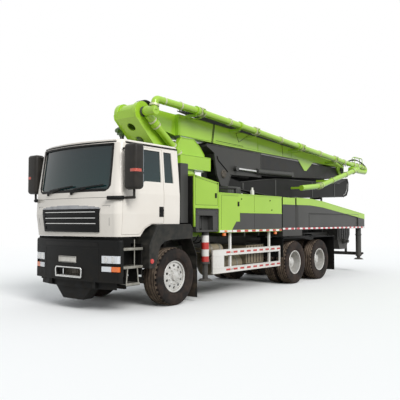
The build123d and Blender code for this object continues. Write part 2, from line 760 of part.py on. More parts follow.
def pump_unit():
    """Twin pumping cylinders with drive cylinders and water box, on saddles."""
    top = frame_top + subframe_height
    unit = block((5100, 5420), (-320, 320), (top + 60, 1680))
    for y in (-pump_y, pump_y):
        unit += long_rod(y, pump_z, pump_cylinder_radius, (5400, hopper_front))
        unit += long_rod(y, pump_z, drive_cylinder_radius, (3250, 5120))
    for x in (3320, 5200, 6500, hopper_front - 300):
        unit += block((x - 40, x + 40), (-330, 330), (top, pump_z))
    return unit


def hopper():
    """Open hopper that narrows to a trough, with a rim round its mouth."""
    def shell(offset):
        x_top = (hopper_front + offset, hopper_rear - offset)
        outline = [(x_top[0], hopper_top), (x_top[0], 1000), (hopper_front + 150 + offset, hopper_bottom + offset),
                   (hopper_rear - 300 - offset, hopper_bottom + offset), (x_top[1], 1150),
                   (x_top[1], hopper_top)]
        return outline
    w = hopper_half_width
    body = side_plate(shell(0), (-w, w))
    hollow = side_plate(shell(hopper_wall), (-w + hopper_wall, w - hopper_wall))
    hollow += block((hopper_front + hopper_wall, hopper_rear - hopper_wall),
                    (-w + hopper_wall, w - hopper_wall), (hopper_top - 10, hopper_top + 60))
    rim_ring = block((hopper_front, hopper_rear + hopper_rim), (-w - hopper_rim, w + hopper_rim),
                     (hopper_top - 40, hopper_top))
    body = body + rim_ring - hollow
    bore = cross_rod(agitator_x, agitator_z, 40.3, (-w - 200, w + 200))
    bearing = cross_rod(agitator_x, agitator_z, 80, (-w - 60, -w + 5))
    body = body + bearing + mirrored(bearing) - bore
    bracket = block((frame_rear, hopper_front + 4), (-400, -300), (frame_top - frame_depth + 20, frame_top + 120))
    rear_bar = block((hopper_rear - 120, hopper_rear - 60), (-1100, 1100), (hopper_bottom - 200, hopper_bottom - 100))
    posts = [block((hopper_rear - 120, hopper_rear - 60), (y - 30, y + 30), (hopper_bottom - 110, 1160))
             for y in (-600, 600)]
    return body + bracket + mirrored(bracket) + rear_bar + posts


def hopper_grate():
    """Hinged grate of bars over the hopper's mouth."""
    w = hopper_half_width - hopper_wall - 12
    x_low, x_high = hopper_front + 40, hopper_rear - 30
    frame = block((x_low, x_high), (-w, w), (hopper_top + 1, hopper_top + 31))
    frame = frame - block((x_low + 30, x_high - 30), (-w + 30, w - 30), (hopper_top - 10, hopper_top + 50))
    for i in range(8):
        y = -w + (i + 1) * 2 * w / 9
        frame += block((x_low + 10, x_high - 10), (y - 8, y + 8), (hopper_top + 5, hopper_top + 27))
    frame += cross_rod(x_low, hopper_top + 16, 14, (-w, w))
    for side in (-1, 1):
        frame += block((x_high - 200, x_high - 140), sorted_pair(side * (w - 10), side * (w + 40)),
                       (hopper_top + 0.3, hopper_top + 25))
    return frame


def agitator():
    """Shaft with paddles across the hopper."""
    w = hopper_half_width
    shaft = cross_rod(agitator_x, agitator_z, 40, (-w - 55, w + 55))
    for i, y in enumerate((-450, -150, 150, 450)):
        turn = 90 * (i % 2)
        paddle = Pos(agitator_x, y, agitator_z) * Rot(0, turn, 0) * Box(30, 120, 2 * agitator_radius)
        shaft += paddle
    return shaft


# Outriggers

def front_outrigger(x_beam):
    """Left sliding beam with its head box, and the jack below the head."""
    y_head = -body_half_width
    beam = block((x_beam - beam_width / 2, x_beam + beam_width / 2),
                 (y_head + 130, y_head + 130 + beam_reach_inside), (beam_bottom, beam_bottom + beam_height))
    head = block((505, 1250), (y_head, y_head + 240), (1365, 1815))
    recess = block((620, 1060), (y_head - 1, y_head + 190), (1400, 1690))
    housing = upright(x_beam, front_jack_y, jack_radius, (720, 1370))
    bore = upright(x_beam, front_jack_y, jack_rod_radius + running_clearance, (700, 1340))
    collar = upright(x_beam, front_jack_y, jack_radius + 18, (720, 760))
    return beam + (head - recess) + housing + collar - bore


def jack_foot(x, y, top):
    """Jack rod with its round foot."""
    rod = upright(x, y, jack_rod_radius, (jack_foot_bottom + 10, top))
    foot = Pos(x, y, jack_foot_bottom + foot_thickness / 2) * Cone(foot_radius, foot_radius * 0.7, foot_thickness)
    return rod + foot


def swing_beam():
    """Left rear outrigger: tapered beam with a skirt, round at its pin, and its jack."""
    mid_y = -body_half_width + swing_beam_width / 2
    half = swing_beam_width / 2
    plan = plan_plate([(swing_pin_x, mid_y - half), (swing_beam_rear, mid_y - half),
                       (swing_beam_rear, mid_y + half), (swing_pin_x, mid_y + half)],
                      (swing_beam_bottom, 2170))
    plan += upright(swing_pin_x, mid_y, half, (swing_beam_bottom, 2170))
    side = side_plate([(swing_pin_x - half, swing_beam_bottom), (swing_pin_x - half, 2170),
                       (swing_pin_x + 630, 2170), (swing_pin_x + 1380, 2120), (swing_beam_rear, 1800), (swing_beam_rear, swing_beam_bottom)],
                      (mid_y - half - 1, mid_y + half + 1))
    beam = plan & side
    bore = upright(swing_pin_x, mid_y, swing_pin_radius + running_clearance, (1200, 2200))
    pocket = block((swing_pin_x + 580, jack_x - 330), (-body_half_width - 1, -body_half_width + 25), (1430, 1790))
    housing = upright(jack_x, mid_y, jack_radius + 10, (480, swing_beam_bottom + 10))
    rod_bore = upright(jack_x, mid_y, jack_rod_radius + running_clearance, (450, swing_beam_bottom + 20))
    return (beam - bore - pocket) + housing - rod_bore


# Boom

def turret():
    """Column that leans over the cab: cheeks, front plate, base and its delivery pipe."""
    w = turret_half_width
    outline = [(-215, boom_pin_z), (-190, 3640), (300, 3180), (830, 2690), (2000, 2690), (2000, 3080),
               (1850, 3245), (1620, 3400), (1180, 3400), (1060, 3210), (130, 3660), (215, boom_pin_z)]
    cheek = side_plate(outline, (-w, -turret_inner))
    cheek += cross_rod(boom_pin_x, boom_pin_z, nose_radius, (-w, -turret_inner))
    column = cheek + mirrored(cheek)
    front = bent_sheet([(-214, 3790), (-190, 3640), (300, 3180), (830, 2690)][::-1], 25, (-w, w))
    front = front - [
        Pos(x, 0, z) * Rot(0, 43, 0) * Cylinder(95, 200) for x, z in ((-20, 3480), (230, 3245))]
    flange = upright(slew_x, 0, ring_radius - 10, (ring_top, ring_top + 115))
    side_box = block((850, 2000), (-480, 480), (2700, 2790))
    base_box = block((950, 2000), (-480, -turret_inner), (2730, 3000))
    side_box += base_box + mirrored(base_box)
    rear_web = block((1960, 2000), (-w, w), (2700, 2960))
    pin = cross_rod(boom_pin_x, boom_pin_z, boom_pin_radius, (-w - 20, w + 20))
    lift_pin = cross_rod(*lift_base, lift_pin_radius, (-w, w))
    run = pipe([(1050, turret_pipe_y, 2780), (1050, turret_pipe_y, 2960), (boom_pin_x + 40, turret_pipe_y, 3700)],
               pipe_radius, 120)
    elbow = Pos(boom_pin_x, turret_pipe_y, boom_pin_z) * Sphere(pipe_radius * 1.2)
    swivel = cross_rod(boom_pin_x, boom_pin_z, clamp_radius, (turret_pipe_y - 100, turret_pipe_y))
    link = cross_rod(boom_pin_x, boom_pin_z, 50, (turret_pipe_y, -w))
    clamps = [Pos(x, turret_pipe_y, z) * Rot(0, -53.7, 0) * Cylinder(clamp_radius, clamp_width)
              for x, z in ((860, 3100), (250, 3545))]
    brackets = [block((x - 20, x + 20), (turret_pipe_y, -w), (z - 20, z + 20))
                for x, z in ((860, 3100), (500, 3365))]
    return (column + front + flange + side_box + rear_web + pin + lift_pin + run + elbow
            + swivel + link + clamps + brackets)


def arm_1():
    """First boom section: forked root, tapered box, rear fork and its delivery pipe."""
    y = arm_1_lane
    root = 178
    side = [(0, boom_pin_z - root), (350, 3560), (1100, 3430), (2600, 3395), (6050, 3385), (8800, 3385),
            (9250, 3385), (9250, 3720), (6900, 3745), (1800, 3875), (600, 3900), (0, boom_pin_z + root)]
    narrow = side_plate(side, (-200, 200))
    narrow = narrow & block((-300, 1150), (-200, 200), (3000, 4000))
    narrow += cross_rod(boom_pin_x, boom_pin_z, root, (-200, 200))
    fork_slot = block((-400, 1000), (-125, 125), (3000, 3780))
    fork_slot += cross_rod(boom_pin_x, boom_pin_z, root + 30, (-125, 125))
    narrow = narrow - fork_slot
    narrow = narrow - cross_rod(boom_pin_x, boom_pin_z, boom_pin_radius + running_clearance, (-300, 300))
    eye_lug = cross_rod(lift_eye[0], lift_eye[1], eye_radius, (-200, -125))
    eye_lug += mirrored(eye_lug)
    narrow = narrow + eye_lug
    main = side_plate(side, y) & block((1100, 9250), (-400, 400), (3000, 4000))
    cheek_outline = [(9200, 3300), (9200, 3715), (9620, 3690), (9760, 3400), (9740, 3200), (9600, 3100),
                     (9400, 3120)]
    cheeks = side_plate(cheek_outline, (y[0], y[0] + 45)) + side_plate(cheek_outline, (y[1] - 45, y[1]))
    pin = cross_rod(*pin_2, fold_pin_radius, y)
    tongue = side_plate([(6450, 3390), (7450, 3390), (7000, 3090), (6860, 3090)], (y[0] - 12, y[0]))
    rear_z = pin_2[1] + pipe_loop_drop
    run = pipe([
        (boom_pin_x, arm_pipe_front_y, boom_pin_z), (boom_pin_x + 40, arm_pipe_front_y, 3990),
        (1350, arm_pipe_front_y, 3960), (9300, arm_pipe_rear_y, rear_z),
        (pipe_loop_x, arm_pipe_rear_y, rear_z - 30), (pipe_loop_x, arm_pipe_rear_y, pin_2[1]),
        (pin_2[0], arm_pipe_rear_y, pin_2[1])], pipe_radius, (100, 300, 300, 78, 78))
    swivel = cross_rod(boom_pin_x, boom_pin_z, clamp_radius - 5,
                       (arm_pipe_front_y - 60, turret_pipe_y - 100 - running_clearance))
    swivel += cross_rod(*pin_2, clamp_radius - 5, (arm_2_pipe_y + 100 + running_clearance, arm_pipe_rear_y + 60))
    clamps = []
    brackets = []
    for x in (1350, 3000, 5900, 8300):
        share = (x - 1350) / (9300 - 1350)
        cy = arm_pipe_front_y + share * (arm_pipe_rear_y - arm_pipe_front_y)
        cz = 3960 + share * (rear_z - 3960)
        clamps.append(Pos(x, cy, cz) * Rot(0, 93.5, 0) * Cylinder(clamp_radius, clamp_width))
        brackets.append(block((x - 25, x + 25), (cy, y[0]), (cz - 120, cz - 60)))
    return (narrow + main + cheeks + pin + tongue + run + swivel + clamps + brackets)


def arm_2():
    """Second boom section under the first, deep at both ends."""
    y = arm_2_lane
    lug_y = (arm_1_lane[0] + 45 + lane_gap, arm_1_lane[1] - 45 - lane_gap)
    lug = side_plate([(9550, 3130), (9550, 3440), (9250, 3360), (8700, 3330), (8700, 2980), (9300, 3040)],
                     lug_y)
    lug += cross_rod(*pin_2, 160, lug_y)
    lug = lug - cross_rod(*pin_2, fold_pin_radius + running_clearance, (-500, 500))
    beam = side_plate([(8750, 3330), (8750, 2960), (5400, 2805), (4000, 2760), (3400, 2790), (2960, 2900),
                       (2480, 2900), (2400, 3160), (2080, 3300), (2080, 3345)], (y[0] + 45, y[1] - 45))
    beam = beam - cross_rod(*pin_3, arm_3_swing, (y[0] + 45, y[1] - 45))
    head = [(2580, 2410), (2440, 2650), (2380, 2890), (2330, 3170), (2040, 3290), (2040, 3350), (4380, 3350),
            (4380, 2720), (3000, 2700), (2860, 2410)]
    cheeks = side_plate(head, (y[0], y[0] + 45)) + side_plate(head, (y[1] - 45, y[1]))
    pin = cross_rod(*pin_3, fold_pin_radius, y)
    return lug + beam + cheeks + pin


def arm_2_pipe():
    """Delivery pipe of the second section, from the rear pin down along its side."""
    y = arm_2_pipe_y
    run = pipe([at_y(pin_2, y), (6760, y, 2600), (5640, y, 2490)], pipe_radius, 250)
    run += cross_rod(*pin_2, clamp_radius - 5, (y - 60, y + 100))
    for x, z in ((7600, 2810), (6000, 2520)):
        run += block((x - 25, x + 25), (y, arm_2_lane[0]), (z - 30, z + 30))
    return run


def arm_3():
    """Third boom section, the low beam with a rounded rear end."""
    y = arm_3_lane
    low, high = arm_3_bottom
    outline = [(2600, 2450), (2870, 2405), low, high, (9980, 2460), (10120, 2640), (10150, 2900),
               (10060, 3050), (9950, 3000), (9450, 2850), (7950, 2810), (5240, 2755), (3470, 2560),
               (2950, 2640), (pin_3[0], pin_3[1] + 155), (pin_3[0] - 155, pin_3[1])]
    beam = side_plate(outline, y)
    beam += cross_rod(*pin_3, 160, y)
    beam = beam - cross_rod(*pin_3, fold_pin_radius + running_clearance, (-500, 500))
    boss = cross_rod(*pin_4, 110, (y[1], arm_4_lane[0] - lane_gap))
    pin = cross_rod(*pin_4, fold_pin_radius, (y[1], arm_4_lane[1] + 10))
    return beam + boss + pin


def arm_4():
    """Fourth boom section in the lane to the right."""
    y = arm_4_lane
    beam = side_plate([(9700, 2600), (9700, 2910), (9300, 3030), (3500, 2960), (3200, 2900), (3200, 2620),
                       (3500, 2560), (9300, 2560)], y)
    beam += cross_rod(*pin_4, 160, y) + cross_rod(*pin_5, 140, y)
    beam = beam - cross_rod(*pin_4, fold_pin_radius + running_clearance, (0, 600))
    pin = cross_rod(*pin_5, fold_pin_radius, (y[0], arm_5_lane[1] + 10))
    return beam + pin


def arm_5():
    """Last boom section, outermost on the right."""
    y = arm_5_lane
    beam = side_plate([(3200, 2640), (3200, 2880), (8600, 2830), (8600, 2720), (5000, 2640)], y)
    beam += cross_rod(*pin_5, 120, y)
    beam = beam - cross_rod(*pin_5, fold_pin_radius + running_clearance, (0, 800))
    return beam


def lift_cylinder():
    """Barrel on the turret's pin and rod to the first section's pin."""
    along = math.dist(lift_base, lift_eye)
    ux = (lift_eye[0] - lift_base[0]) / along
    uz = (lift_eye[1] - lift_base[1]) / along

    def at(distance):
        return (lift_base[0] + ux * distance, lift_base[1] + uz * distance)
    barrel = slanted_rod(at(eye_radius * 0.8), at(along - eye_radius - 120), lift_barrel_radius, 0)
    barrel += cross_rod(*lift_base, eye_radius, (-eye_width / 2, eye_width / 2))
    barrel = barrel - cross_rod(*lift_base, lift_pin_radius + running_clearance, (-200, 200))
    barrel = barrel - slanted_rod(at(eye_radius + 60), at(along), lift_rod_radius + running_clearance, 0)
    rod = slanted_rod(at(eye_radius + 90), at(along - eye_radius * 0.8), lift_rod_radius, 0)
    rod += cross_rod(*lift_eye, eye_radius, (-eye_width / 2, eye_width / 2))
    rod += cross_rod(*lift_eye, lift_pin_radius, (seat_gap - 125, 125 - seat_gap))
    return barrel, rod


def build():
    """All sub-parts by name, in the frame of the front axle."""
    parts = {}
    front_tyre, front_rim = front_wheel()
    parts["front_tyre_left"] = front_tyre
    parts["front_tyre_right"] = mirrored(front_tyre)
    parts["front_rim_left"] = front_rim
    parts["front_rim_right"] = mirrored(front_rim)
    for number, x in ((1, wheelbase), (2, wheelbase + tandem_gap)):
        tyres, rims = rear_wheel(x)
        parts[f"rear_tyres_{number}_left"] = tyres
        parts[f"rear_tyres_{number}_right"] = mirrored(tyres)
        parts[f"rear_rims_{number}_left"] = rims
        parts[f"rear_rims_{number}_right"] = mirrored(rims)
    left_knuckle = knuckle()
    parts["knuckle_left"] = left_knuckle
    parts["knuckle_right"] = mirrored(left_knuckle)
    parts["chassis_frame"] = chassis_frame()
    parts["front_axle"] = front_axle()
    parts["rear_axles"] = rear_axles()
    parts["engine_block"] = engine_block()
    shell, panes, door, door_pane = cab()
    parts["cab_shell"] = shell
    parts["cab_glass"] = panes
    parts["door_left"] = door
    parts["door_right"] = mirrored(door)
    parts["door_glass_left"] = door_pane
    parts["door_glass_right"] = mirrored(door_pane)
    parts["cab_interior"] = cab_interior()
    parts["bumper"] = bumper()
    parts["head_lamps"] = head_lamps()
    parts["grille"] = grille()
    parts["cab_steps"] = cab_steps()
    parts["front_mudguards"] = front_mudguards()
    left_mirror = mirror_unit()
    parts["mirror_left"] = left_mirror
    parts["mirror_right"] = mirrored(left_mirror)
    parts["body_frame"] = body_frame()
    parts["side_lockers"] = side_lockers()
    parts["side_guards"] = side_guards()
    parts["rear_mudguards"] = rear_mudguards()
    parts["tanks"] = tanks()
    parts["intake_stack"] = intake_stack()
    parts["slew_pedestal"] = pedestal()
    parts["pump_unit"] = pump_unit()
    parts["hopper"] = hopper()
    parts["hopper_grate"] = hopper_grate()
    parts["agitator"] = agitator()
    outrigger = front_outrigger(beam_x)
    foot = jack_foot(beam_x, front_jack_y, 1330)
    parts["front_outrigger_left"] = outrigger
    parts["front_outrigger_right"] = mirrored(outrigger)
    parts["front_jack_left"] = foot
    parts["front_jack_right"] = mirrored(foot)
    left_swing = swing_beam()
    left_foot = jack_foot(jack_x, rear_jack_y, swing_beam_bottom)
    parts["rear_outrigger_left"] = left_swing
    parts["rear_outrigger_right"] = mirrored(left_swing)
    parts["rear_jack_left"] = left_foot
    parts["rear_jack_right"] = mirrored(left_foot)
    parts["turret"] = turret()
    parts["arm_1"] = arm_1()
    parts["arm_2"] = arm_2()
    parts["arm_2_pipe"] = arm_2_pipe()
    parts["arm_3"] = arm_3()
    parts["arm_4"] = arm_4()
    parts["arm_5"] = arm_5()
    barrel, rod = lift_cylinder()
    parts["lift_barrel"] = barrel
    parts["lift_rod"] = rod
    return parts


os.makedirs("parts", exist_ok=True)
for name, shape in build().items():
    export_step(Pos(-mid_x, 0, 0) * shape, f"parts/{name}.step")
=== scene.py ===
import json
import math

import bmesh
import bpy
from mathutils import Matrix, Vector


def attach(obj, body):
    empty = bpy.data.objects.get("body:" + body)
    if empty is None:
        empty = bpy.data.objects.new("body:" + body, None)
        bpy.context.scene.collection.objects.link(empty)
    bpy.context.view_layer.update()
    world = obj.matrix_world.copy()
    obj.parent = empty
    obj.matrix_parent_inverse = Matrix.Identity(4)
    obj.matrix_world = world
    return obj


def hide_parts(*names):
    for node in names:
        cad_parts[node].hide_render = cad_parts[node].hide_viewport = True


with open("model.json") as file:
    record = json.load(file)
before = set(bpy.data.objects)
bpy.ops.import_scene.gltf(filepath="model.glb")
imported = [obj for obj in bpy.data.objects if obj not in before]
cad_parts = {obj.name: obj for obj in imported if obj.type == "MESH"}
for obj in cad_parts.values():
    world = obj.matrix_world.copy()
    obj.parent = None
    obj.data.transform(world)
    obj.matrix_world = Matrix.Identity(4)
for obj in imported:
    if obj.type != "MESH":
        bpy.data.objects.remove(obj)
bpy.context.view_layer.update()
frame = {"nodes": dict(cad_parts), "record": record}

# Concrete pump truck. Lengths are in metres: x from the front axle rearward, y to the truck's right, z up.
frontAxleX = -4.616         # where the front axle lies in the part's own frame
sides = ((-1, "Left", "left"), (1, "Right", "right"))
nodes = frame["nodes"]


def spot(x, y, z):
    return Vector((x + frontAxleX, y, z))


print("stage: camera and light")
view = {
    "place": (-7.755, -7.856, 1.568),   # as the photograph was taken
    "yaw": 38.2,
    "pitch": 2.28,
    "lens": 48.9,
    "floor": "#F4F4F2",
    "floorBounce": "#77756F",   # what light the floor throws back up
    "floorSize": 150,
    "fadeFrom": 9,              # where the floor starts to fade into the backdrop, and where it ends
    "fadeTo": 26,
    "sunStrength": 2.35,
    "sunSpread": 28,            # degrees: a wide sun, as under thin cloud
    "sunWay": (0.30, 0.74, -0.56),
    "sky": "#F1F5FA",
    "skyStrength": 0.72,
}


def hexToLinear(code):
    channels = [int(code[i:i + 2], 16) / 255 for i in (1, 3, 5)]
    return tuple(c / 12.92 if c <= 0.04045 else ((c + 0.055) / 1.055) ** 2.4 for c in channels) + (1.0,)


def addNode(tree, kind, settings=None, values=None, links=None):
    node = tree.nodes.new(kind)
    for name, value in (settings or {}).items():
        setattr(node, name, value)
    for name, value in (values or {}).items():
        node.inputs[name].default_value = value
    connect(tree, node, links or {})
    return node


def connect(tree, node, links):
    for name, source in links.items():
        tree.links.new(source, node.inputs[name])


def calculate(tree, operation, first, second):
    # second is a number or another node's output
    if isinstance(second, (int, float)):
        return addNode(tree, "ShaderNodeMath", {"operation": operation}, {1: second}, {0: first}).outputs[0]
    return addNode(tree, "ShaderNodeMath", {"operation": operation}, links={0: first, 1: second}).outputs[0]


def seenDirectly(tree):
    # 1 for rays that show the floor or backdrop to the eye, also through glass or in a gloss
    rays = addNode(tree, "ShaderNodeLightPath").outputs
    through = calculate(tree, "MAXIMUM", rays["Is Camera Ray"], rays["Is Transmission Ray"])
    return calculate(tree, "MAXIMUM", through, rays["Is Glossy Ray"])


scene = bpy.context.scene
scene.view_settings.view_transform = "Standard"
yaw, pitch = math.radians(view["yaw"]), math.radians(view["pitch"])
look = Vector((math.cos(yaw) * math.cos(pitch), math.sin(yaw) * math.cos(pitch), math.sin(pitch)))
camera = bpy.data.objects.new("camera", bpy.data.cameras.new("camera"))
camera.data.sensor_width = 36
camera.data.lens = view["lens"]
camera.data.clip_end = 400
camera.location = spot(*view["place"])
camera.rotation_mode = "QUATERNION"
camera.rotation_quaternion = look.to_track_quat("-Z", "Y")
scene.collection.objects.link(camera)
scene.camera = camera

sun = bpy.data.objects.new("sun", bpy.data.lights.new("sun", "SUN"))
sun.data.energy = view["sunStrength"]
sun.data.angle = math.radians(view["sunSpread"])
sun.rotation_mode = "QUATERNION"
sun.rotation_quaternion = Vector(view["sunWay"]).to_track_quat("-Z", "Y")
scene.collection.objects.link(sun)

world = bpy.data.worlds.new("studio")
scene.world = world
world.use_nodes = True
tree = world.node_tree
tree.nodes.clear()
sky = addNode(tree, "ShaderNodeBackground",
              values={"Color": hexToLinear(view["sky"]), "Strength": view["skyStrength"]})
backdrop = addNode(tree, "ShaderNodeBackground", values={"Color": (1, 1, 1, 1), "Strength": 1.0})
mixed = addNode(tree, "ShaderNodeMixShader",
                links={0: seenDirectly(tree), 1: sky.outputs[0], 2: backdrop.outputs[0]})
addNode(tree, "ShaderNodeOutputWorld", links={"Surface": mixed.outputs[0]})


print("stage: materials")


def startMaterial(name, values):
    material = bpy.data.materials.new(name)
    material.use_nodes = True
    tree = material.node_tree
    tree.nodes.clear()
    shader = addNode(tree, "ShaderNodeBsdfPrincipled", values=values)
    addNode(tree, "ShaderNodeOutputMaterial", links={"Surface": shader.outputs[0]})
    place = addNode(tree, "ShaderNodeTexCoord").outputs["Object"]
    return material, tree, shader, place


def ramp(tree, source, low, high, floorValue=0.0, topValue=1.0):
    made = addNode(tree, "ShaderNodeMapRange", {"clamp": True},
                   {"From Min": low, "From Max": high, "To Min": floorValue, "To Max": topValue},
                   {"Value": source})
    return made.outputs["Result"]


def blendColour(tree, share, first, second):
    made = addNode(tree, "ShaderNodeMix", {"data_type": "RGBA"}, links={0: share})
    for socket, colour in ((6, first), (7, second)):
        if isinstance(colour, str):
            made.inputs[socket].default_value = hexToLinear(colour)
        else:
            tree.links.new(colour, made.inputs[socket])
    return made.outputs[2]


def bumpFrom(tree, shader, height, distance, strength=1.0):
    made = addNode(tree, "ShaderNodeBump", values={"Distance": distance, "Strength": strength},
                   links={"Height": height})
    connect(tree, shader, {"Normal": made.outputs[0]})


def noiseAt(tree, place, size, detail=3.0):
    return addNode(tree, "ShaderNodeTexNoise", values={"Scale": 1 / size, "Detail": detail},
                   links={"Vector": place}).outputs[0]


def axisOf(tree, place, axis):
    return addNode(tree, "ShaderNodeSeparateXYZ", links={0: place}).outputs[axis]


# Two-pack paint on steel: even and glossy, with road dust that thickens towards the ground.
def paint(name, colour, shade, dust, dustShare=0.55, dustTop=1.3, roughness=0.3, coat=0.4, gloss=0.5):
    material, tree, shader, place = startMaterial(name, {
        "Coat Weight": coat, "Coat Roughness": 0.08, "IOR": 1.5, "Specular IOR Level": gloss})
    tone = blendColour(tree, ramp(tree, noiseAt(tree, place, 0.9, 5), 0.35, 0.65), colour, shade)
    low = ramp(tree, axisOf(tree, place, 2), 0.25, dustTop, dustShare, 0.03)
    specks = ramp(tree, noiseAt(tree, place, 0.05, 8), 0.3, 0.7, 0.25, 1.0)
    grime = calculate(tree, "MULTIPLY", low, specks)
    connect(tree, shader, {"Base Color": blendColour(tree, grime, tone, dust),
                           "Roughness": ramp(tree, grime, 0.0, 0.6, roughness, 0.85)})
    bumpFrom(tree, shader, noiseAt(tree, place, 0.03, 2), 0.0004, 0.5)
    return material


# Moulded polypropylene: dull, with a fine cast grain and pale dust in the grain.
def mouldedPlastic(name, colour, dust="#6E675E", dustShare=0.35, roughness=0.55, dustTop=1.2):
    material, tree, shader, place = startMaterial(name, {"IOR": 1.49, "Specular IOR Level": 0.2})
    low = ramp(tree, axisOf(tree, place, 2), 0.3, dustTop, dustShare, 0.04)
    grime = calculate(tree, "MULTIPLY", low, ramp(tree, noiseAt(tree, place, 0.12, 7), 0.35, 0.65))
    connect(tree, shader, {"Base Color": blendColour(tree, grime, colour, dust),
                           "Roughness": ramp(tree, grime, 0, 0.5, roughness, 0.9)})
    bumpFrom(tree, shader, noiseAt(tree, place, 0.004, 2), 0.0006, 0.6)
    return material


# Bare or silver-painted metal: brushed streaks and dull spots.
def metal(name, colour, shade, metallic=1.0, roughness=0.3, streak=0.02, dustShare=0.25, dust="#6F6555"):
    material, tree, shader, place = startMaterial(name, {"Metallic": metallic})
    cloud = noiseAt(tree, place, 0.15, 6)
    tone = blendColour(tree, ramp(tree, cloud, 0.35, 0.7), colour, shade)
    grime = ramp(tree, noiseAt(tree, place, 0.05, 8), 0.5, 0.75, 0.0, dustShare)
    connect(tree, shader, {"Base Color": blendColour(tree, grime, tone, dust),
                           "Roughness": ramp(tree, cloud, 0.3, 0.7, roughness, roughness + 0.2)})
    bumpFrom(tree, shader, noiseAt(tree, place, streak, 3), 0.0004, 0.4)
    return material


# Filled rubber: near black, with patches of dried mud.
def rubber(name, colour, mud, share, roughness=0.8):
    material, tree, shader, place = startMaterial(name, {
        "IOR": 1.52, "Specular IOR Level": 0.3, "Roughness": roughness})
    grime = ramp(tree, noiseAt(tree, place, 0.18, 9), 0.38, 0.68, 0.0, share)
    connect(tree, shader, {"Base Color": blendColour(tree, grime, colour, mud)})
    bumpFrom(tree, shader, noiseAt(tree, place, 0.008, 4), 0.001, 0.5)
    return material


# Coloured lens: clear moulded plastic over a ribbed reflector.
def lens(name, colour, ribs=0.01, glow=0.0):
    material, tree, shader, place = startMaterial(name, {
        "Roughness": 0.12, "Coat Weight": 0.8, "IOR": 1.49, "Base Color": hexToLinear(colour),
        "Emission Color": hexToLinear(colour), "Emission Strength": glow})
    wave = addNode(tree, "ShaderNodeTexWave", {"bands_direction": "Z"}, {"Scale": 0.31 / ribs},
                   {"Vector": place})
    bumpFrom(tree, shader, wave.outputs[1], 0.002, 0.6)
    return material


# Two-colour stripes along x, as on retro-reflective tape; the cells under its film are drawn coarse.
def stripedTape(name, first, second, period):
    material, tree, shader, place = startMaterial(name, {"Roughness": 0.35, "Coat Weight": 0.5})
    turn = calculate(tree, "FLOORED_MODULO", axisOf(tree, place, 0), period)
    tone = blendColour(tree, calculate(tree, "GREATER_THAN", turn, period / 2), first, second)
    specks = ramp(tree, noiseAt(tree, place, 0.05, 6), 0.5, 0.75, 0, 0.35)
    connect(tree, shader, {"Base Color": blendColour(tree, specks, tone, "#8A8278")})
    cells = addNode(tree, "ShaderNodeTexVoronoi", values={"Scale": 250}, links={"Vector": place}).outputs[0]
    bumpFrom(tree, shader, cells, 0.0005, 0.5)
    return material


# Tinted toughened glass: dark from outside, with a clean gloss.
def tintedGlass(name, low, high, weight):
    material, tree, shader, place = startMaterial(name, {
        "Roughness": 0.03, "Transmission Weight": weight, "IOR": 1.45, "Coat Weight": 0.15,
        "Coat Roughness": 0.02})
    share = ramp(tree, axisOf(tree, place, 2), 2.0, 2.9)
    connect(tree, shader, {"Base Color": blendColour(tree, share, low, high)})
    return material


# The second section's enamel: graphite at its head, and painted shade behind x that turns it near black,
# where the section lies in the first section's shadow.
def headAndShadedTail(name, head, tail, x):
    material, tree, shader, place = startMaterial(name, {"Specular IOR Level": 0.25})
    shadeBorder = spot(x, 0, 0).x
    # the painted shade starts at this border
    step = ramp(tree, axisOf(tree, place, 0), shadeBorder - 0.002, shadeBorder + 0.002)
    dust = ramp(tree, noiseAt(tree, place, 0.3, 7), 0.4, 0.75, 0.0, 0.18)
    connect(tree, shader, {
        "Base Color": blendColour(tree, dust, blendColour(tree, step, head, tail), "#6B655C"),
        "Roughness": ramp(tree, dust, 0.0, 0.18, 0.36, 0.6)})
    bumpFrom(tree, shader, noiseAt(tree, place, 0.03, 2), 0.0004, 0.5)
    return material


# Enamels: the cab's solid colour over pressed steel, lime two-pack over welded plate, and the rest
cabPaint = paint("cabEnamel", "#EFE9DF", "#EAE3D8", "#B7AC9C", 0.25, 1.6, 0.28)
greenPaint = paint("boomEnamel", "#A3CE34", "#9CC72E", "#7C8A3C", 0.2, 1.5, 0.3)
darkGreen = paint("darkGreenEnamel", "#3C5C1C", "#2F4A18", "#59603C", 0.3)
greyPaint = paint("graphiteEnamel", "#464644", "#3F3F3D", "#6B655C", 0.4, 1.4, 0.42, 0.05, 0.25)
armPaint = paint("armEnamel", "#232322", "#1D1D1C", "#4B463F", 0.2, 1.5, 0.5, 0.0, 0.15)
guardPaint = paint("guardEnamel", "#E9E7E2", "#DDDAD3", "#8E8270", 0.35, 1.2, 0.35)
framePaint = paint("chassisEnamel", "#1C1D1D", "#242423", "#57503F", 0.7, 1.5, 0.5, 0.1)
tankPaint = paint("tankEnamel", "#8B8069", "#786C57", "#5C5142", 0.6, 1.5, 0.5, 0.1)
redPaint = paint("jackRedEnamel", "#C42A22", "#B3241E", "#6B5A4C", 0.3, 1.2, 0.35)
blackPlastic = mouldedPlastic("mouldedPolypropylene", "#080909", "#3A352E", 0.3)
fenderPlastic = mouldedPlastic("dustyPolypropylene", "#232422", "#6E675E", 0.4, 0.45, 1.9)
mirrorPlastic = mouldedPlastic("mirrorShellPlastic", "#2B2926", "#5B544B", 0.3, 0.35, 3.2)
matBlack = mouldedPlastic("mouldedTrimBlack", "#080808", dustShare=0.1, roughness=0.5)
cabTrim = mouldedPlastic("mouldedCabTrim", "#26282B", dustShare=0.05)
wheelSteel = metal("silverWheelPaint", "#D6D5D1", "#C2C0BB", 0.45, 0.34, 0.03, 0.35, "#8A7C69")
chrome = metal("hardChrome", "#DADADA", "#C4C4C4", 1.0, 0.08, 0.01, 0.05)
galvanised = metal("galvanisedTread", "#A3A199", "#86837A", 0.8, 0.4, 0.01, 0.5)
polished = metal("polishedTrim", "#D8D8D6", "#C2C2C0", 1.0, 0.16, 0.01, 0.05)
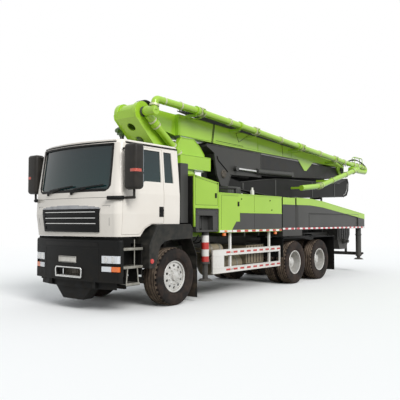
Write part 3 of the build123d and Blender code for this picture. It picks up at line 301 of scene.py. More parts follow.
silverTrim = metal("silverTrimPaint", "#A9AAAC", "#97989B", 0.6, 0.35)
platePaint = metal("platePaint", "#D9D6CE", "#C9C5BC", 0.2, 0.4)
zincClamp = metal("zincClamp", "#D6DAB6", "#C3C79A", 0.35, 0.4)
wornSteel = metal("wornSteel", "#6F6A62", "#56514A", 0.6, 0.5, 0.02, 0.5)
mirrorGlass = metal("silveredMirror", "#C9D1D8", "#BBC4CC", 1.0, 0.03, 0.2, 0.0)
tyreRubber = rubber("tyreRubber", "#161210", "#3B2E26", 0.8)
# tread face: dried mud, made lighter still as a painted highlight
treadMudAndHighlight = rubber("muddyTreadPaintedHighlight", "#5A4D41", "#9A8876", 0.95, 0.9)
hoseRubber = rubber("hoseRubber", "#151515", "#2A2825", 0.4, 0.55)
flapRubber = rubber("flapRubber", "#1E1D1C", "#5A4C3E", 0.7, 0.85)
clearLens = lens("clearLens", "#E4E7EA", 0.012)
amberLens = lens("amberLens", "#E06A12", glow=0.15)
redLens = lens("redLens", "#C3231B", glow=0.1)
mirrorLens = lens("mirrorLampLens", "#C4442C", glow=0.05)
screenGlass = tintedGlass("windscreenGlass", "#1A4646", "#16343A", 0.5)
redWhiteTape = stripedTape("redWhiteTape", "#C21F2C", "#F3F1EE", 0.30)

# Each slot's finishes: the first is on the solids that have no finish of their own below
slotFinishes = {
    "cab_paint": (cabPaint,),
    "green_paint": (greenPaint, darkGreen),
    "grey_paint": (greyPaint,),
    "frame_paint": (framePaint,),
    "guard_paint": (guardPaint, redPaint, redWhiteTape, platePaint),
    "wheel_paint": (wheelSteel, polished, silverTrim),
    "tyre": (tyreRubber,),
    "black_plastic": (blackPlastic, matBlack, mirrorPlastic, fenderPlastic, flapRubber, hoseRubber),
    "interior_plastic": (cabTrim,),
    "lamp_lens": (clearLens, amberLens, redLens, mirrorLens),
    "window_glass": (screenGlass,),
    "rod_chrome": (chrome, mirrorGlass),
    "worn_steel": (wornSteel, galvanised, zincClamp),
    "tank_paint": (tankPaint,),
}
for part in frame["record"]["subparts"]:
    holder = nodes[part["node"]]
    holder.data.materials.clear()
    holder.data.materials.append(slotFinishes[part["material_slot"]][0])
ownFinishes = {
    greyPaint: ("front_jack_left", "front_jack_right", "rear_jack_left", "rear_jack_right"),
    fenderPlastic: ("front_mudguards",),
    armPaint: ("arm_3", "arm_4", "arm_5"),
    # the second section: painted shade makes it near black behind x 4.38
    headAndShadedTail("secondSectionEnamelPaintedShade", "#3E3E3C", "#1B1B1B", 4.38): ("arm_2",),
}
for finish, names in ownFinishes.items():
    for name in names:
        nodes[name].data.materials[0] = finish


print("stage: mesh helpers")


def bevelEdges(bm, edges, width, segments):
    bmesh.ops.bevel(bm, geom=edges, offset=width, segments=segments, profile=0.5, affect="EDGES",
                    material=-1, clamp_overlap=True)


def edgesOf(verts):
    return list({edge for vert in verts for edge in vert.link_edges})


def addBox(bm, low, high, bevel=0.0, segments=2):
    low, high = spot(*low), spot(*high)
    place = Matrix.Translation((low + high) / 2) @ Matrix.Diagonal((*(high - low), 1))
    made = bmesh.ops.create_cube(bm, size=1, matrix=place)["verts"]
    if bevel:
        bevelEdges(bm, edgesOf(made), bevel, segments)
    return made


def addSideBox(bm, side, low, high, bevel=0.0, segments=2):
    # low and high are those of the right side, and side is -1 to mirror them
    y0, y1 = sorted((side * low[1], side * high[1]))
    return addBox(bm, (low[0], y0, low[2]), (high[0], y1, high[2]), bevel, segments)


def addRims(bm, side, inner, outer, rows):
    # flat bars on the truck's side; a row holds x and z of a bar's low corner, then of its high one
    for x0, z0, x1, z1 in rows:
        addSideBox(bm, side, (x0, inner, z0), (x1, outer, z1), 0.001)


def addRod(bm, start, end, radius, corners=20, endRadius=None):
    start, end = spot(*start), spot(*end)
    along = end - start
    place = Matrix.Translation((start + end) / 2) @ along.to_track_quat("Z", "Y").to_matrix().to_4x4()
    bmesh.ops.create_cone(bm, cap_ends=True, segments=corners, radius1=radius,
                          radius2=radius if endRadius is None else endRadius, depth=along.length,
                          matrix=place)


def addRun(bm, points, y, radius, corners=8):
    # rods from point to point; points are x and z
    for (x0, z0), (x1, z1) in zip(points, points[1:]):
        addRod(bm, (x0, y, z0), (x1, y, z1), radius, corners)


def addBolts(bm, centre, axis, ringRadius, count, radius, start, end, phase=0.0, corners=6):
    # a ring of bolts along axis 0, 1 or 2, each from start to end as measured from the centre
    across = [i for i in range(3) if i != axis]
    for i in range(count):
        turn = 2 * math.pi * (i + phase) / count
        ends = [list(centre), list(centre)]
        for place, away in zip(ends, (start, end)):
            place[axis] += away
            place[across[0]] += ringRadius * math.cos(turn)
            place[across[1]] += ringRadius * math.sin(turn)
        addRod(bm, *ends, radius, corners)


def extrudeFace(bm, face, way):
    grown = bmesh.ops.extrude_face_region(bm, geom=[face])["geom"]
    bmesh.ops.translate(bm, verts=[item for item in grown if isinstance(item, bmesh.types.BMVert)], vec=way)
    return next(item for item in grown if isinstance(item, bmesh.types.BMFace))


def addPlate(bm, outline, side, inner, outer):
    # outline holds x and z; the plate's faces are inner and outer from the truck's middle
    low, high = sorted((side * inner, side * outer))
    face = bm.faces.new([bm.verts.new(spot(x, low, z)) for x, z in outline])
    extrudeFace(bm, face, (0, high - low, 0))


def addStrip(bm, points, across, deep):
    # a bar of even section that follows the points; across and deep are its two half sizes as vectors
    first = spot(*points[0])
    across, deep = Vector(across), Vector(deep)
    corners = [first + across + deep, first + across - deep, first - across - deep, first - across + deep]
    face = bm.faces.new([bm.verts.new(corner) for corner in corners])
    for before, after in zip(points, points[1:]):
        face = extrudeFace(bm, face, spot(*after) - spot(*before))


def addSpun(bm, profile, centre, axis, steps=32):
    # profile holds (radius, distance along the axis); the ring it makes is closed
    middle, along = spot(*centre), Vector(axis).normalized()
    out = along.orthogonal().normalized()
    verts = [bm.verts.new(middle + out * radius + along * away) for radius, away in profile]
    edges = [bm.edges.new((verts[i - 1], verts[i])) for i in range(len(verts))]
    bmesh.ops.spin(bm, geom=verts + edges, cent=middle, axis=along, dvec=(0, 0, 0), angle=2 * math.pi,
                   steps=steps, use_merge=True, use_duplicate=False)


def addRing(bm, centre, axis, inner, outer, half, steps=32):
    addSpun(bm, [(inner, -half), (outer, -half), (outer, half), (inner, half)], centre, axis, steps)


def addHose(bm, points, radius):
    curve = bpy.data.curves.new("run", "CURVE")
    curve.dimensions = "3D"
    spline = curve.splines.new("NURBS")
    spline.points.add(len(points) - 1)
    for point, place in zip(spline.points, points):
        point.co = (*spot(*place), 1)
    spline.order_u = 3
    spline.use_endpoint_u = True
    spline.resolution_u = 8
    curve.bevel_depth = radius
    curve.bevel_resolution = 3
    curve.use_fill_caps = True
    run = bpy.data.objects.new("run", curve)
    mesh = bpy.data.meshes.new_from_object(run)
    bm.from_mesh(mesh)
    bpy.data.objects.remove(run)
    bpy.data.meshes.remove(mesh)


def spread(low, high, count):
    return [low + (high - low) * i / (count - 1) for i in range(count)]


def finishPiece(name, bm, material, body="chassis", angle=30, replaced=()):
    bmesh.ops.recalc_face_normals(bm, faces=bm.faces)
    mesh = bpy.data.meshes.new(name)
    bm.to_mesh(mesh)
    bm.free()
    for face in mesh.polygons:
        face.use_smooth = True
    mesh.set_sharp_from_angle(angle=math.radians(angle))
    mesh.materials.append(material)
    piece = bpy.data.objects.new(name, mesh)
    scene.collection.objects.link(piece)
    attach(piece, body)
    if replaced:
        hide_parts(*replaced)
    return piece


def hosePiece(name, radius, runs, body="chassis", finish=hoseRubber):
    bm = bmesh.new()
    for points in runs:
        addHose(bm, points, radius)
    finishPiece(name, bm, finish, body, 40)


def edgePiece(name, finish, body, angle, places, runs, radius, corners=8):
    # the same runs of rods, in x and z, at each of the places across the truck
    bm = bmesh.new()
    for y in places:
        for points in runs:
            addRun(bm, points, y, radius, corners)
    finishPiece(name, bm, finish, body, angle)


def sideBoxPiece(name, finish, side, low, high, bevel=0.0, body="chassis"):
    bm = bmesh.new()
    addSideBox(bm, side, low, high, bevel)
    finishPiece(name, bm, finish, body)


print("stage: tyres and wheels")
tyres = {
    "radius": 0.54, "bead": 0.29, "steps": 72, "grooveDepth": 0.018, "grooveWidth": 0.016,
    "grooves": (-0.55, -0.2, 0.2, 0.55),    # share of half the width
    "lugDepth": 0.012, "lugGap": 0.005,
    "nut": 0.016, "nuts": 10, "frontNutRing": 0.1425, "rearNutRing": 0.145,
    "frontY": 1.005, "frontWidth": 0.38, "rearOuterY": 1.055, "rearInnerY": 0.711, "rearWidth": 0.30,
    "rearX": (4.64, 6.04),
}


def makeTyre(name, x, middleY, width, body, replaced):
    half, r = width / 2, tyres["radius"]
    # radius and share of half the width, from the bead to the tread's shoulder
    outline = [(tyres["bead"], -0.70), (0.306, -0.78), (0.325, -0.80), (0.345, -0.93), (0.40, -0.99),
               (0.445, -1.0), (0.485, -0.965), (0.512, -0.905), (0.5125, -0.87), (0.531, -0.83)]
    tread = []
    for middle in tyres["grooves"]:
        w = tyres["grooveWidth"] / width
        tread += [(r - 0.001, middle - w), (r - tyres["grooveDepth"], middle - w * 0.6),
                  (r - tyres["grooveDepth"], middle + w * 0.6), (r - 0.001, middle + w)]
    profile = outline + tread + [(radius, -share) for radius, share in reversed(outline)]
    bm = bmesh.new()
    addSpun(bm, [(radius, share * half) for radius, share in profile], (x, middleY, r), (0, 1, 0),
            tyres["steps"])
    axle = spot(x, middleY, r)
    lugs = []
    for face in bm.faces:
        away = face.calc_center_median() - axle
        reach, share = math.hypot(away.x, away.z), abs(away.y) / half
        turn = int((math.atan2(away.z, away.x) + math.pi) / (2 * math.pi) * tyres["steps"])
        if reach > 0.515 and share > 0.58 and turn % 2 == 0:
            lugs.append(face)
    bmesh.ops.recalc_face_normals(bm, faces=bm.faces)
    bmesh.ops.inset_individual(bm, faces=lugs, thickness=tyres["lugGap"], depth=-tyres["lugDepth"])
    # The tread's face takes the lighter muddy finish, partly mud and partly a painted highlight; the groove
    # floors keep the dark rubber as painted shade in the grooves.
    for face in bm.faces:
        away = face.calc_center_median() - axle
        if math.hypot(away.x, away.z) > 0.532 and abs(away.y) / half < 0.9:
            face.material_index = 1
    piece = finishPiece(name, bm, tyreRubber, body, replaced=replaced)
    piece.data.materials.append(treadMudAndHighlight)


def addNuts(bm, x, y, ringRadius, side):
    size = tyres["nut"]
    for length, radius, corners in ((1.3, size, 6), (2.0, size * 0.5, 8)):
        addBolts(bm, (x, side * y, tyres["radius"]), 1, ringRadius, tyres["nuts"], radius, 0.0,
                 side * size * length, 0.5, corners)


def addHubShape(bm, profile, x, y, side, steps):
    # profile holds the radius and the distance outward from y
    addSpun(bm, [(radius, side * away) for radius, away in profile], (x, side * y, tyres["radius"]),
            (0, 1, 0), steps)


for side, sideName, sideWord in sides:
    body = f"front_wheel_{sideWord}"
    makeTyre(f"frontTyre{sideName}", 0, side * tyres["frontY"], tyres["frontWidth"], body,
             [f"front_tyre_{sideWord}"])
    bm = bmesh.new()
    addNuts(bm, 0, 1.141, tyres["frontNutRing"], side)
    addHubShape(bm, [(0, 0), (0.078, 0), (0.085, 0.02), (0.078, 0.035), (0.05, 0.042), (0, 0.044)],
                0, 1.145, side, 32)
    addHubShape(bm, [(0.268, 0), (0.292, 0), (0.298, 0.012), (0.292, 0.018), (0.270, 0.012)],
                0, 1.132, side, 64)
    finishPiece(f"frontHub{sideName}", bm, wheelSteel, body, 40)
    for number, x in enumerate(tyres["rearX"], 1):
        body = f"rear_wheels_{number}_{sideWord}"
        for place, y, replaced in (("Outer", tyres["rearOuterY"], [f"rear_tyres_{number}_{sideWord}"]),
                                   ("Inner", tyres["rearInnerY"], [])):
            makeTyre(f"rearTyre{place}{number}{sideName}", x, side * y, tyres["rearWidth"], body, replaced)
        bm = bmesh.new()
        addNuts(bm, x, 0.943, tyres["rearNutRing"], side)
        addHubShape(bm, [(0, 0), (0.105, 0), (0.118, 0.03), (0.10, 0.10), (0.085, 0.125), (0, 0.13)],
                    x, 0.97, side, 32)
        addHubShape(bm, [(0.27, 0), (0.292, 0), (0.299, 0.010), (0.292, 0.016), (0.272, 0.010)],
                    x, 1.165, side, 64)
        finishPiece(f"rearHub{number}{sideName}", bm, wheelSteel, body, 40)


print("stage: cab")
cab = {
    # height, half width, nose, corner set-back, as the shell's levels
    "levels": ((1.31, 1.15, -1.565, 0.12), (1.70, 1.17, -1.605, 0.12), (2.06, 1.17, -1.585, 0.12),
               (2.93, 1.095, -1.495, 0.13), (3.00, 1.03, -1.44, 0.15)),
    "corner": 0.13,
    "sealSide": ((0.865, 2.095), (0.925, 2.13), (0.962, 2.19), (0.957, 2.55), (0.945, 2.918)),     # y, z
    "roofSide": (-0.6, 0.0, 0.115),
    "wiperZ": 2.065,
    "bars": ((1.735, 0.745), (1.63, 0.735), (1.535, 0.725)),     # height, half length
    "crownZ": 1.795,
    "crown": ((0.0, 0.80), (0.014, 0.77), (0.028, 0.68), (0.040, 0.52), (0.050, 0.3)),
    "meshHalf": 0.70,
    "seams": (((0.83, 1.84), (1.0, 1.84), (1.0, 1.84)), ((0.975, 1.84), (0.975, 1.62), (0.965, 1.50))),
}


def cabLevel(z):
    levels = cab["levels"]
    for low, high in zip(levels, levels[1:]):
        if z <= high[0] or high is levels[-1]:
            share = (z - low[0]) / (high[0] - low[0])
            return [a + share * (b - a) for a, b in zip(low, high)]


def cabFront(y, z, lift=0.0):
    height, width, nose, back = cabLevel(z)
    return (nose + back * (y / (width - cab["corner"])) ** 2 - lift, y, z)


def addBar(bm, surface, z, low, high, count, lift, tall, deep):
    # a bar across the truck's front; surface is cabFront or bumperFace
    addStrip(bm, [surface(y, z, lift) for y in spread(low, high, count)], (0, 0, tall), (deep, 0, 0))


def addRoofSide(bm, side, start, z, lift, tall, deep):
    points = [(x, side * (cabLevel(z)[1] + lift), z) for x in (start, *cab["roofSide"])]
    addStrip(bm, points, (0, 0, tall), (0, deep, 0))


bm = bmesh.new()
for z, reach, tall in ((2.908, 0.945, 0.016), (2.108, 0.88, 0.022)):
    addBar(bm, cabFront, z, -reach, reach, 15, 0.0, tall, 0.006)
for side in (-1, 1):
    addStrip(bm, [cabFront(side * y, z) for y, z in cab["sealSide"]], (0, 0.018, 0), (0.006, 0, 0))
finishPiece("windscreenSeal", bm, matBlack)

bm = bmesh.new()
addBar(bm, cabFront, 2.95, -0.98, 0.98, 15, 0.010, 0.010, 0.012)
for side in (-1, 1):
    addRoofSide(bm, side, -1.23, 2.94, 0.008, 0.012, 0.013)
finishPiece("roofGutter", bm, matBlack)

bm = bmesh.new()
for side in (-1, 1):
    addRoofSide(bm, side, -1.21, 2.966, 0.002, 0.010, 0.012)
addBar(bm, cabFront, 2.978, -0.95, 0.95, 15, 0.004, 0.012, 0.012)
finishPiece("roofLip", bm, cabPaint)

bm = bmesh.new()
for pivotY, tipY in ((0.62, -0.12), (-0.10, -0.84)):
    addRod(bm, cabFront(pivotY, cab["wiperZ"], -0.02), cabFront(pivotY, cab["wiperZ"], 0.030), 0.022, 16)
    addRod(bm, cabFront(pivotY, cab["wiperZ"], 0.022), cabFront((pivotY + tipY) / 2, 2.15, 0.030), 0.009, 8)
    addStrip(bm, [cabFront(y, 2.135 + 0.06 * (pivotY - y) / (pivotY - tipY), 0.018)
                  for y in spread(pivotY - 0.05, tipY, 9)], (0, 0, 0.012), (0.007, 0, 0))
finishPiece("wipers", bm, matBlack)

bm = bmesh.new()
for z, reach in cab["bars"]:
    addBar(bm, cabFront, z, -reach, reach, 13, 0.0115, 0.006, 0.006)
finishPiece("grilleBars", bm, polished)
bm = bmesh.new()
for rise, reach in cab["crown"]:
    addBar(bm, cabFront, cab["crownZ"] + rise, -reach, reach, 13, 0.006 - rise * 0.1, 0.010, 0.010)
finishPiece("grilleCrown", bm, silverTrim)
bm = bmesh.new()
for row in spread(1.42, 1.75, 12):
    addBar(bm, cabFront, row, -cab["meshHalf"], cab["meshHalf"], 13, 0.002, 0.004, 0.004)
for column in spread(-cab["meshHalf"], cab["meshHalf"], 34):
    addStrip(bm, [cabFront(column, z, 0.001) for z in (1.41, 1.58, 1.76)], (0, 0.004, 0), (0.003, 0, 0))
finishPiece("grilleMesh", bm, matBlack)

bm = bmesh.new()
for side in (-1, 1):
    for outline in cab["seams"]:
        addStrip(bm, [cabFront(side * y, z) for y, z in outline], (0, 0.002, 0.002), (0.002, 0, 0))
    addBar(bm, cabFront, 1.98, 0.0, side, 9, 0.0, 0.0025, 0.002)
finishPiece("frontPanelSeams", bm, matBlack)

mirrors = {"low": (-1.41, 1.221, 2.11), "high": (-1.19, 1.514, 2.88), "corner": 0.06, "armX": -1.30}
for side, sideName, sideWord in sides:
    body = f"cab_door_{sideWord}"
    bm = bmesh.new()
    addSideBox(bm, side, mirrors["low"], mirrors["high"], mirrors["corner"], 5)
    for y0, z0, y1, z1, radius in ((1.106, 2.82, 1.26, 2.82, 0.020), (1.172, 1.975, 1.39, 1.975, 0.024),
                                   (1.375, 1.965, 1.375, 2.14, 0.022)):
        addRod(bm, (mirrors["armX"], side * y0, z0), (mirrors["armX"], side * y1, z1), radius, 14)
    finishPiece(f"mirrorShell{sideName}", bm, mirrorPlastic, body, 40, replaced=[f"mirror_{sideWord}"])
    bm = bmesh.new()
    for low, high in ((2.40, 2.83), (2.16, 2.37)):
        addSideBox(bm, side, (-1.194, 1.25, low), (-1.188, 1.485, high), 0.002)
    finishPiece(f"mirrorFace{sideName}", bm, mirrorGlass, body)
    bm = bmesh.new()
    made = addSideBox(bm, side, (-1.412, 1.345, 2.40), (-1.22, 1.515, 2.45))
    upright = [edge for edge in edgesOf(made) if abs(edge.verts[0].co.z - edge.verts[1].co.z) > 0.01]
    bevelEdges(bm, upright, 0.055, 5)
    finishPiece(f"mirrorLamp{sideName}", bm, mirrorLens, body, 40)
    foot = ((-1.55, 0.99, 1.968), (-1.515, 1.07, 1.968), (-1.455, 1.155, 1.97), (-1.41, 1.188, 1.972),
            (-1.366, 1.192, 1.975))
    hosePiece(f"mirrorFoot{sideName}", 0.034, [[(x, side * y, z) for x, y, z in foot]], finish=blackPlastic)
    sideBoxPiece(f"doorHandleRecess{sideName}", matBlack, side, (-0.455, 1.160, 1.655), (-0.338, 1.178, 1.84),
                 0.006, body)
    sideBoxPiece(f"doorHandle{sideName}", blackPlastic, side, (-0.448, 1.175, 1.755), (-0.345, 1.192, 1.795),
                 0.007, body)


print("stage: bumper and steps")
bumper = {
    "front": -1.57, "shoulder": -1.435, "halfWidth": 1.18, "bend": 0.10,
    "plateZ": 0.90,
    "stepX": -1.583,
    "stepFrame": ((-0.36, 0.595), (-0.375, 0.72), (-0.35, 0.76), (0.32, 0.76), (0.34, 0.72), (0.33, 0.595),
                  (-0.36, 0.595)),          # y, z
    "lampZ": 0.9235, "lowLampZ": 0.761, "lampSunk": 0.012,
    "treads": ((1.103, -1.345, -0.885), (0.793, -1.345, -0.885), (0.503, -1.285, -0.955)),  # z, x from, x to
    # x and z of the fender's side face, at its outer and inner edges
    "fenderOuter": ((-0.768, 0.750), (-0.768, 1.150), (-0.706, 1.268), (-0.633, 1.390), (-0.557, 1.487),
                    (-0.478, 1.500), (0.352, 1.500), (0.398, 1.428), (0.400, 1.256)),
    "fenderInner": ((0.400, 1.254), (-0.200, 1.246), (-0.388, 1.214), (-0.500, 1.141), (-0.546, 1.039),
                    (-0.598, 0.863), (-0.650, 0.750), (-0.768, 0.750)),
}


def bumperFace(y, z, lift=0.0):
    bend = bumper["bend"]
    reach = bumper["halfWidth"] - bend
    if abs(y) > reach:
        return (bumper["shoulder"] + bend - math.sqrt(bend ** 2 - (abs(y) - reach) ** 2) - lift, y, z)
    rise = (bumper["shoulder"] - bumper["front"]) * (y / reach) ** 2
    return (bumper["front"] + rise - lift, y, z)


bm = bmesh.new()
addBar(bm, bumperFace, bumper["plateZ"], -0.21, 0.27, 5, 0.006, 0.055, 0.006)
finishPiece("blankPlate", bm, platePaint)
bm = bmesh.new()
for rise in (-0.045, 0.045):
    addBar(bm, bumperFace, bumper["plateZ"] + rise, -0.205, 0.265, 5, 0.014, 0.003, 0.002)
finishPiece("plateRim", bm, matBlack)
bm = bmesh.new()
for start, end in zip(bumper["stepFrame"], bumper["stepFrame"][1:]):
    addRod(bm, (bumper["stepX"], *start), (bumper["stepX"], *end), 0.013, 12)
addBox(bm, (-1.575, -0.345, 0.60), (-1.45, 0.315, 0.618), 0.003)
finishPiece("frontStep", bm, polished, angle=40)
bm = bmesh.new()
addBox(bm, (-1.405, -0.375, 0.585), (-1.397, 0.345, 0.755), 0.003)
for y in spread(-0.30, 0.27, 9):
    addBox(bm, (-1.412, y - 0.010, 0.60), (-1.403, y + 0.010, 0.74), 0.002)
finishPiece("stepBack", bm, wornSteel, angle=40)
bm = bmesh.new()
for z in (1.105, 0.545):
    addBar(bm, bumperFace, z, -1.05, 1.05, 17, 0.0, 0.004, 0.003)
addBar(bm, bumperFace, 1.175, -0.72, 0.74, 17, 0.002, 0.035, 0.004)
for y in (-0.73, 0.73):
    addStrip(bm, [bumperFace(y, z) for z in (0.55, 0.8, 1.10)], (0, 0.003, 0), (0.003, 0, 0))
finishPiece("bumperSeams", bm, matBlack)

for side, sideName, sideWord in sides:
    bm = bmesh.new()
    for z, outerEnd, count, tall in ((bumper["lampZ"], 1.148, 11, 0.063),
                                     (bumper["lowLampZ"], 0.983, 5, 0.043)):
        addBar(bm, bumperFace, z, side * 0.797, side * outerEnd, count, -bumper["lampSunk"], tall, 0.010)
    finishPiece(f"headLampLens{sideName}", bm, clearLens, replaced=["head_lamps"] if side < 0 else ())
    bm = bmesh.new()
    addBar(bm, bumperFace, bumper["lowLampZ"], side * 0.997, side * 1.148, 7, -bumper["lampSunk"],
           0.043, 0.010)
    finishPiece(f"turnLamp{sideName}", bm, amberLens)
    bm = bmesh.new()
    for y in (0.875, 1.01):
        addSpun(bm, [(0.0, 0.0), (0.05, 0.004), (0.054, 0.0), (0.05, -0.004)],
                bumperFace(side * y, bumper["lampZ"]), (-1, 0, 0), 24)
    finishPiece(f"lampReflectors{sideName}", bm, polished)
    bm = bmesh.new()
    for z, low, high in bumper["treads"]:
        addSideBox(bm, side, (low, 0.925, z - 0.004), (high, 1.175, z + 0.006))
        for x in spread(low + 0.02, high - 0.02, 13):
            addSideBox(bm, side, (x - 0.006, 0.935, z + 0.004), (x + 0.006, 1.165, z + 0.018))
        addSideBox(bm, side, (low, 1.168, z - 0.026), (high, 1.180, z + 0.018), 0.003)
    for points, radius in ((((-1.27, 0.50), (-1.24, 0.77)), 0.012), (((-0.98, 0.50), (-1.01, 0.77)), 0.012),
                           (((-1.08, 0.80), (-1.08, 1.26)), 0.010)):
        addRun(bm, points, side * 1.165, radius, 10)
    finishPiece(f"stepTreads{sideName}", bm, galvanised, angle=40)
    bm = bmesh.new()
    addSpun(bm, [(0.0, -0.01), (0.045, -0.01), (0.042, 0.012), (0.0, 0.018)],
            (-0.725, side * 1.245, 0.869), (0, side, 0), 24)
    finishPiece(f"sideMarker{sideName}", bm, redLens)

    # Rolled edges of the fender's side face, and the wheel flap's rubber
    bm = bmesh.new()
    addRun(bm, bumper["fenderOuter"], side * 1.232, 0.018, 12)
    addRun(bm, bumper["fenderInner"], side * 1.236, 0.012, 10)
    finishPiece(f"fenderRolls{sideName}", bm, fenderPlastic, angle=50)
    sideBoxPiece(f"frontFlap{sideName}", flapRubber, side, (0.643, 0.86, 0.085), (0.657, 1.17, 0.62), 0.003)


print("stage: body behind the cab")
panels = {
    "face": 1.25,           # how far the body's sides lie from the truck's middle
    "seamFace": 1.2505,     # seams lie half sunk in the panels, and on the grey sheet at greyFace
    "greyFace": 1.2535,
    "grey": ((1.74, 1.395), (1.905, 1.57), (2.04, 1.57), (2.04, 1.755), (3.846, 1.755), (3.846, 1.395)),
    # outline, then how proud each green edge stands
    "edges": ((((2.045, 1.757), (2.045, 1.772), (3.848, 1.772), (3.848, 1.757)), 0.010),
              (((1.27, 2.150), (1.27, 2.172), (3.848, 2.172), (3.848, 2.150)), 0.008),
              (((1.262, 1.345), (1.262, 2.150), (1.285, 2.150), (1.285, 1.345)), 0.008),
              (((0.445, 1.835), (0.445, 1.860), (1.258, 1.860), (1.258, 1.835)), 0.008),
              (((0.442, 1.840), (0.442, 2.480), (0.462, 2.476), (0.462, 1.840)), 0.006),
              (((0.442, 2.470), (0.442, 2.489), (1.258, 2.370), (1.258, 2.351)), 0.008)),
    "seams": (((0.50, 1.90), (0.50, 2.44), (1.22, 2.335), (1.22, 1.90), (0.50, 1.90)),
              ((2.62, 1.78), (2.62, 2.145)), ((1.36, 1.42), (1.36, 2.12), (1.98, 2.12))),
    "catches": ((0.50, 2.46), (1.215, 2.35), (2.10, 2.06), (3.30, 2.06), (3.38, 1.84)),
}
guard = {
    "rims": ((1.128, 0.975, 3.852, 0.988), (1.128, 0.857, 3.852, 0.870), (1.128, 0.607, 3.852, 0.622),
             (1.128, 0.498, 3.852, 0.512), (1.128, 0.498, 1.142, 0.988), (3.838, 0.498, 3.852, 0.988)),
    "dashes": 9, "firstDash": 1.60, "dashStep": 0.262, "dashLength": 0.15,
}
frontLeg = {
    "rims": ((0.508, 1.690, 1.247, 1.702), (0.616, 1.398, 0.628, 1.692), (1.052, 1.398, 1.064, 1.692),
             (0.508, 1.366, 1.247, 1.378), (0.508, 1.366, 0.520, 1.812), (1.236, 1.366, 1.247, 1.812),
             (0.508, 1.800, 1.247, 1.812)),
    "jackX": 0.96, "jackY": 1.13,
    "bands": (("Red", redPaint, (0.80, 1.08), 0.0775, 0.070),
              ("White", guardPaint, (0.94, 1.22), 0.0772, 0.069)),
}
rearLeg = {
    "top": ((4.60, 2.168), (5.35, 2.168), (6.10, 2.118), (9.118, 1.799)),
    "stripe": (0.175, 0.170, 0.160, 0.150),     # how far down the green reaches at those places
    "rims": ((5.298, 1.422, 8.602, 1.434), (5.298, 1.786, 8.602, 1.798), (5.290, 1.422, 5.302, 1.798),
             (8.598, 1.422, 8.610, 1.798)),
    "pinX": 4.72, "jackX": 8.93, "legY": 1.12,
}
# name, the leg that it rides on if any, finish, then its corners: x, how far out, z
stripes = (
    ("midPanelTape", None, redWhiteTape, (1.745, 1.2505, 1.347), (3.846, 1.2535, 1.389)),
    ("panelWhiteTape", None, guardPaint, (1.30, 1.2505, 1.347), (1.744, 1.2535, 1.389)),
    ("beamTape", "rear_leg", redWhiteTape, (4.60, 1.2505, 1.372), (9.117, 1.2535, 1.414)),
    ("postTape", None, redWhiteTape, (3.903, 1.2495, 1.372), (4.525, 1.2525, 1.414)),
    ("postStripe", None, greenPaint, (3.903, 1.250, 1.99), (4.525, 1.256, 2.163)),
)

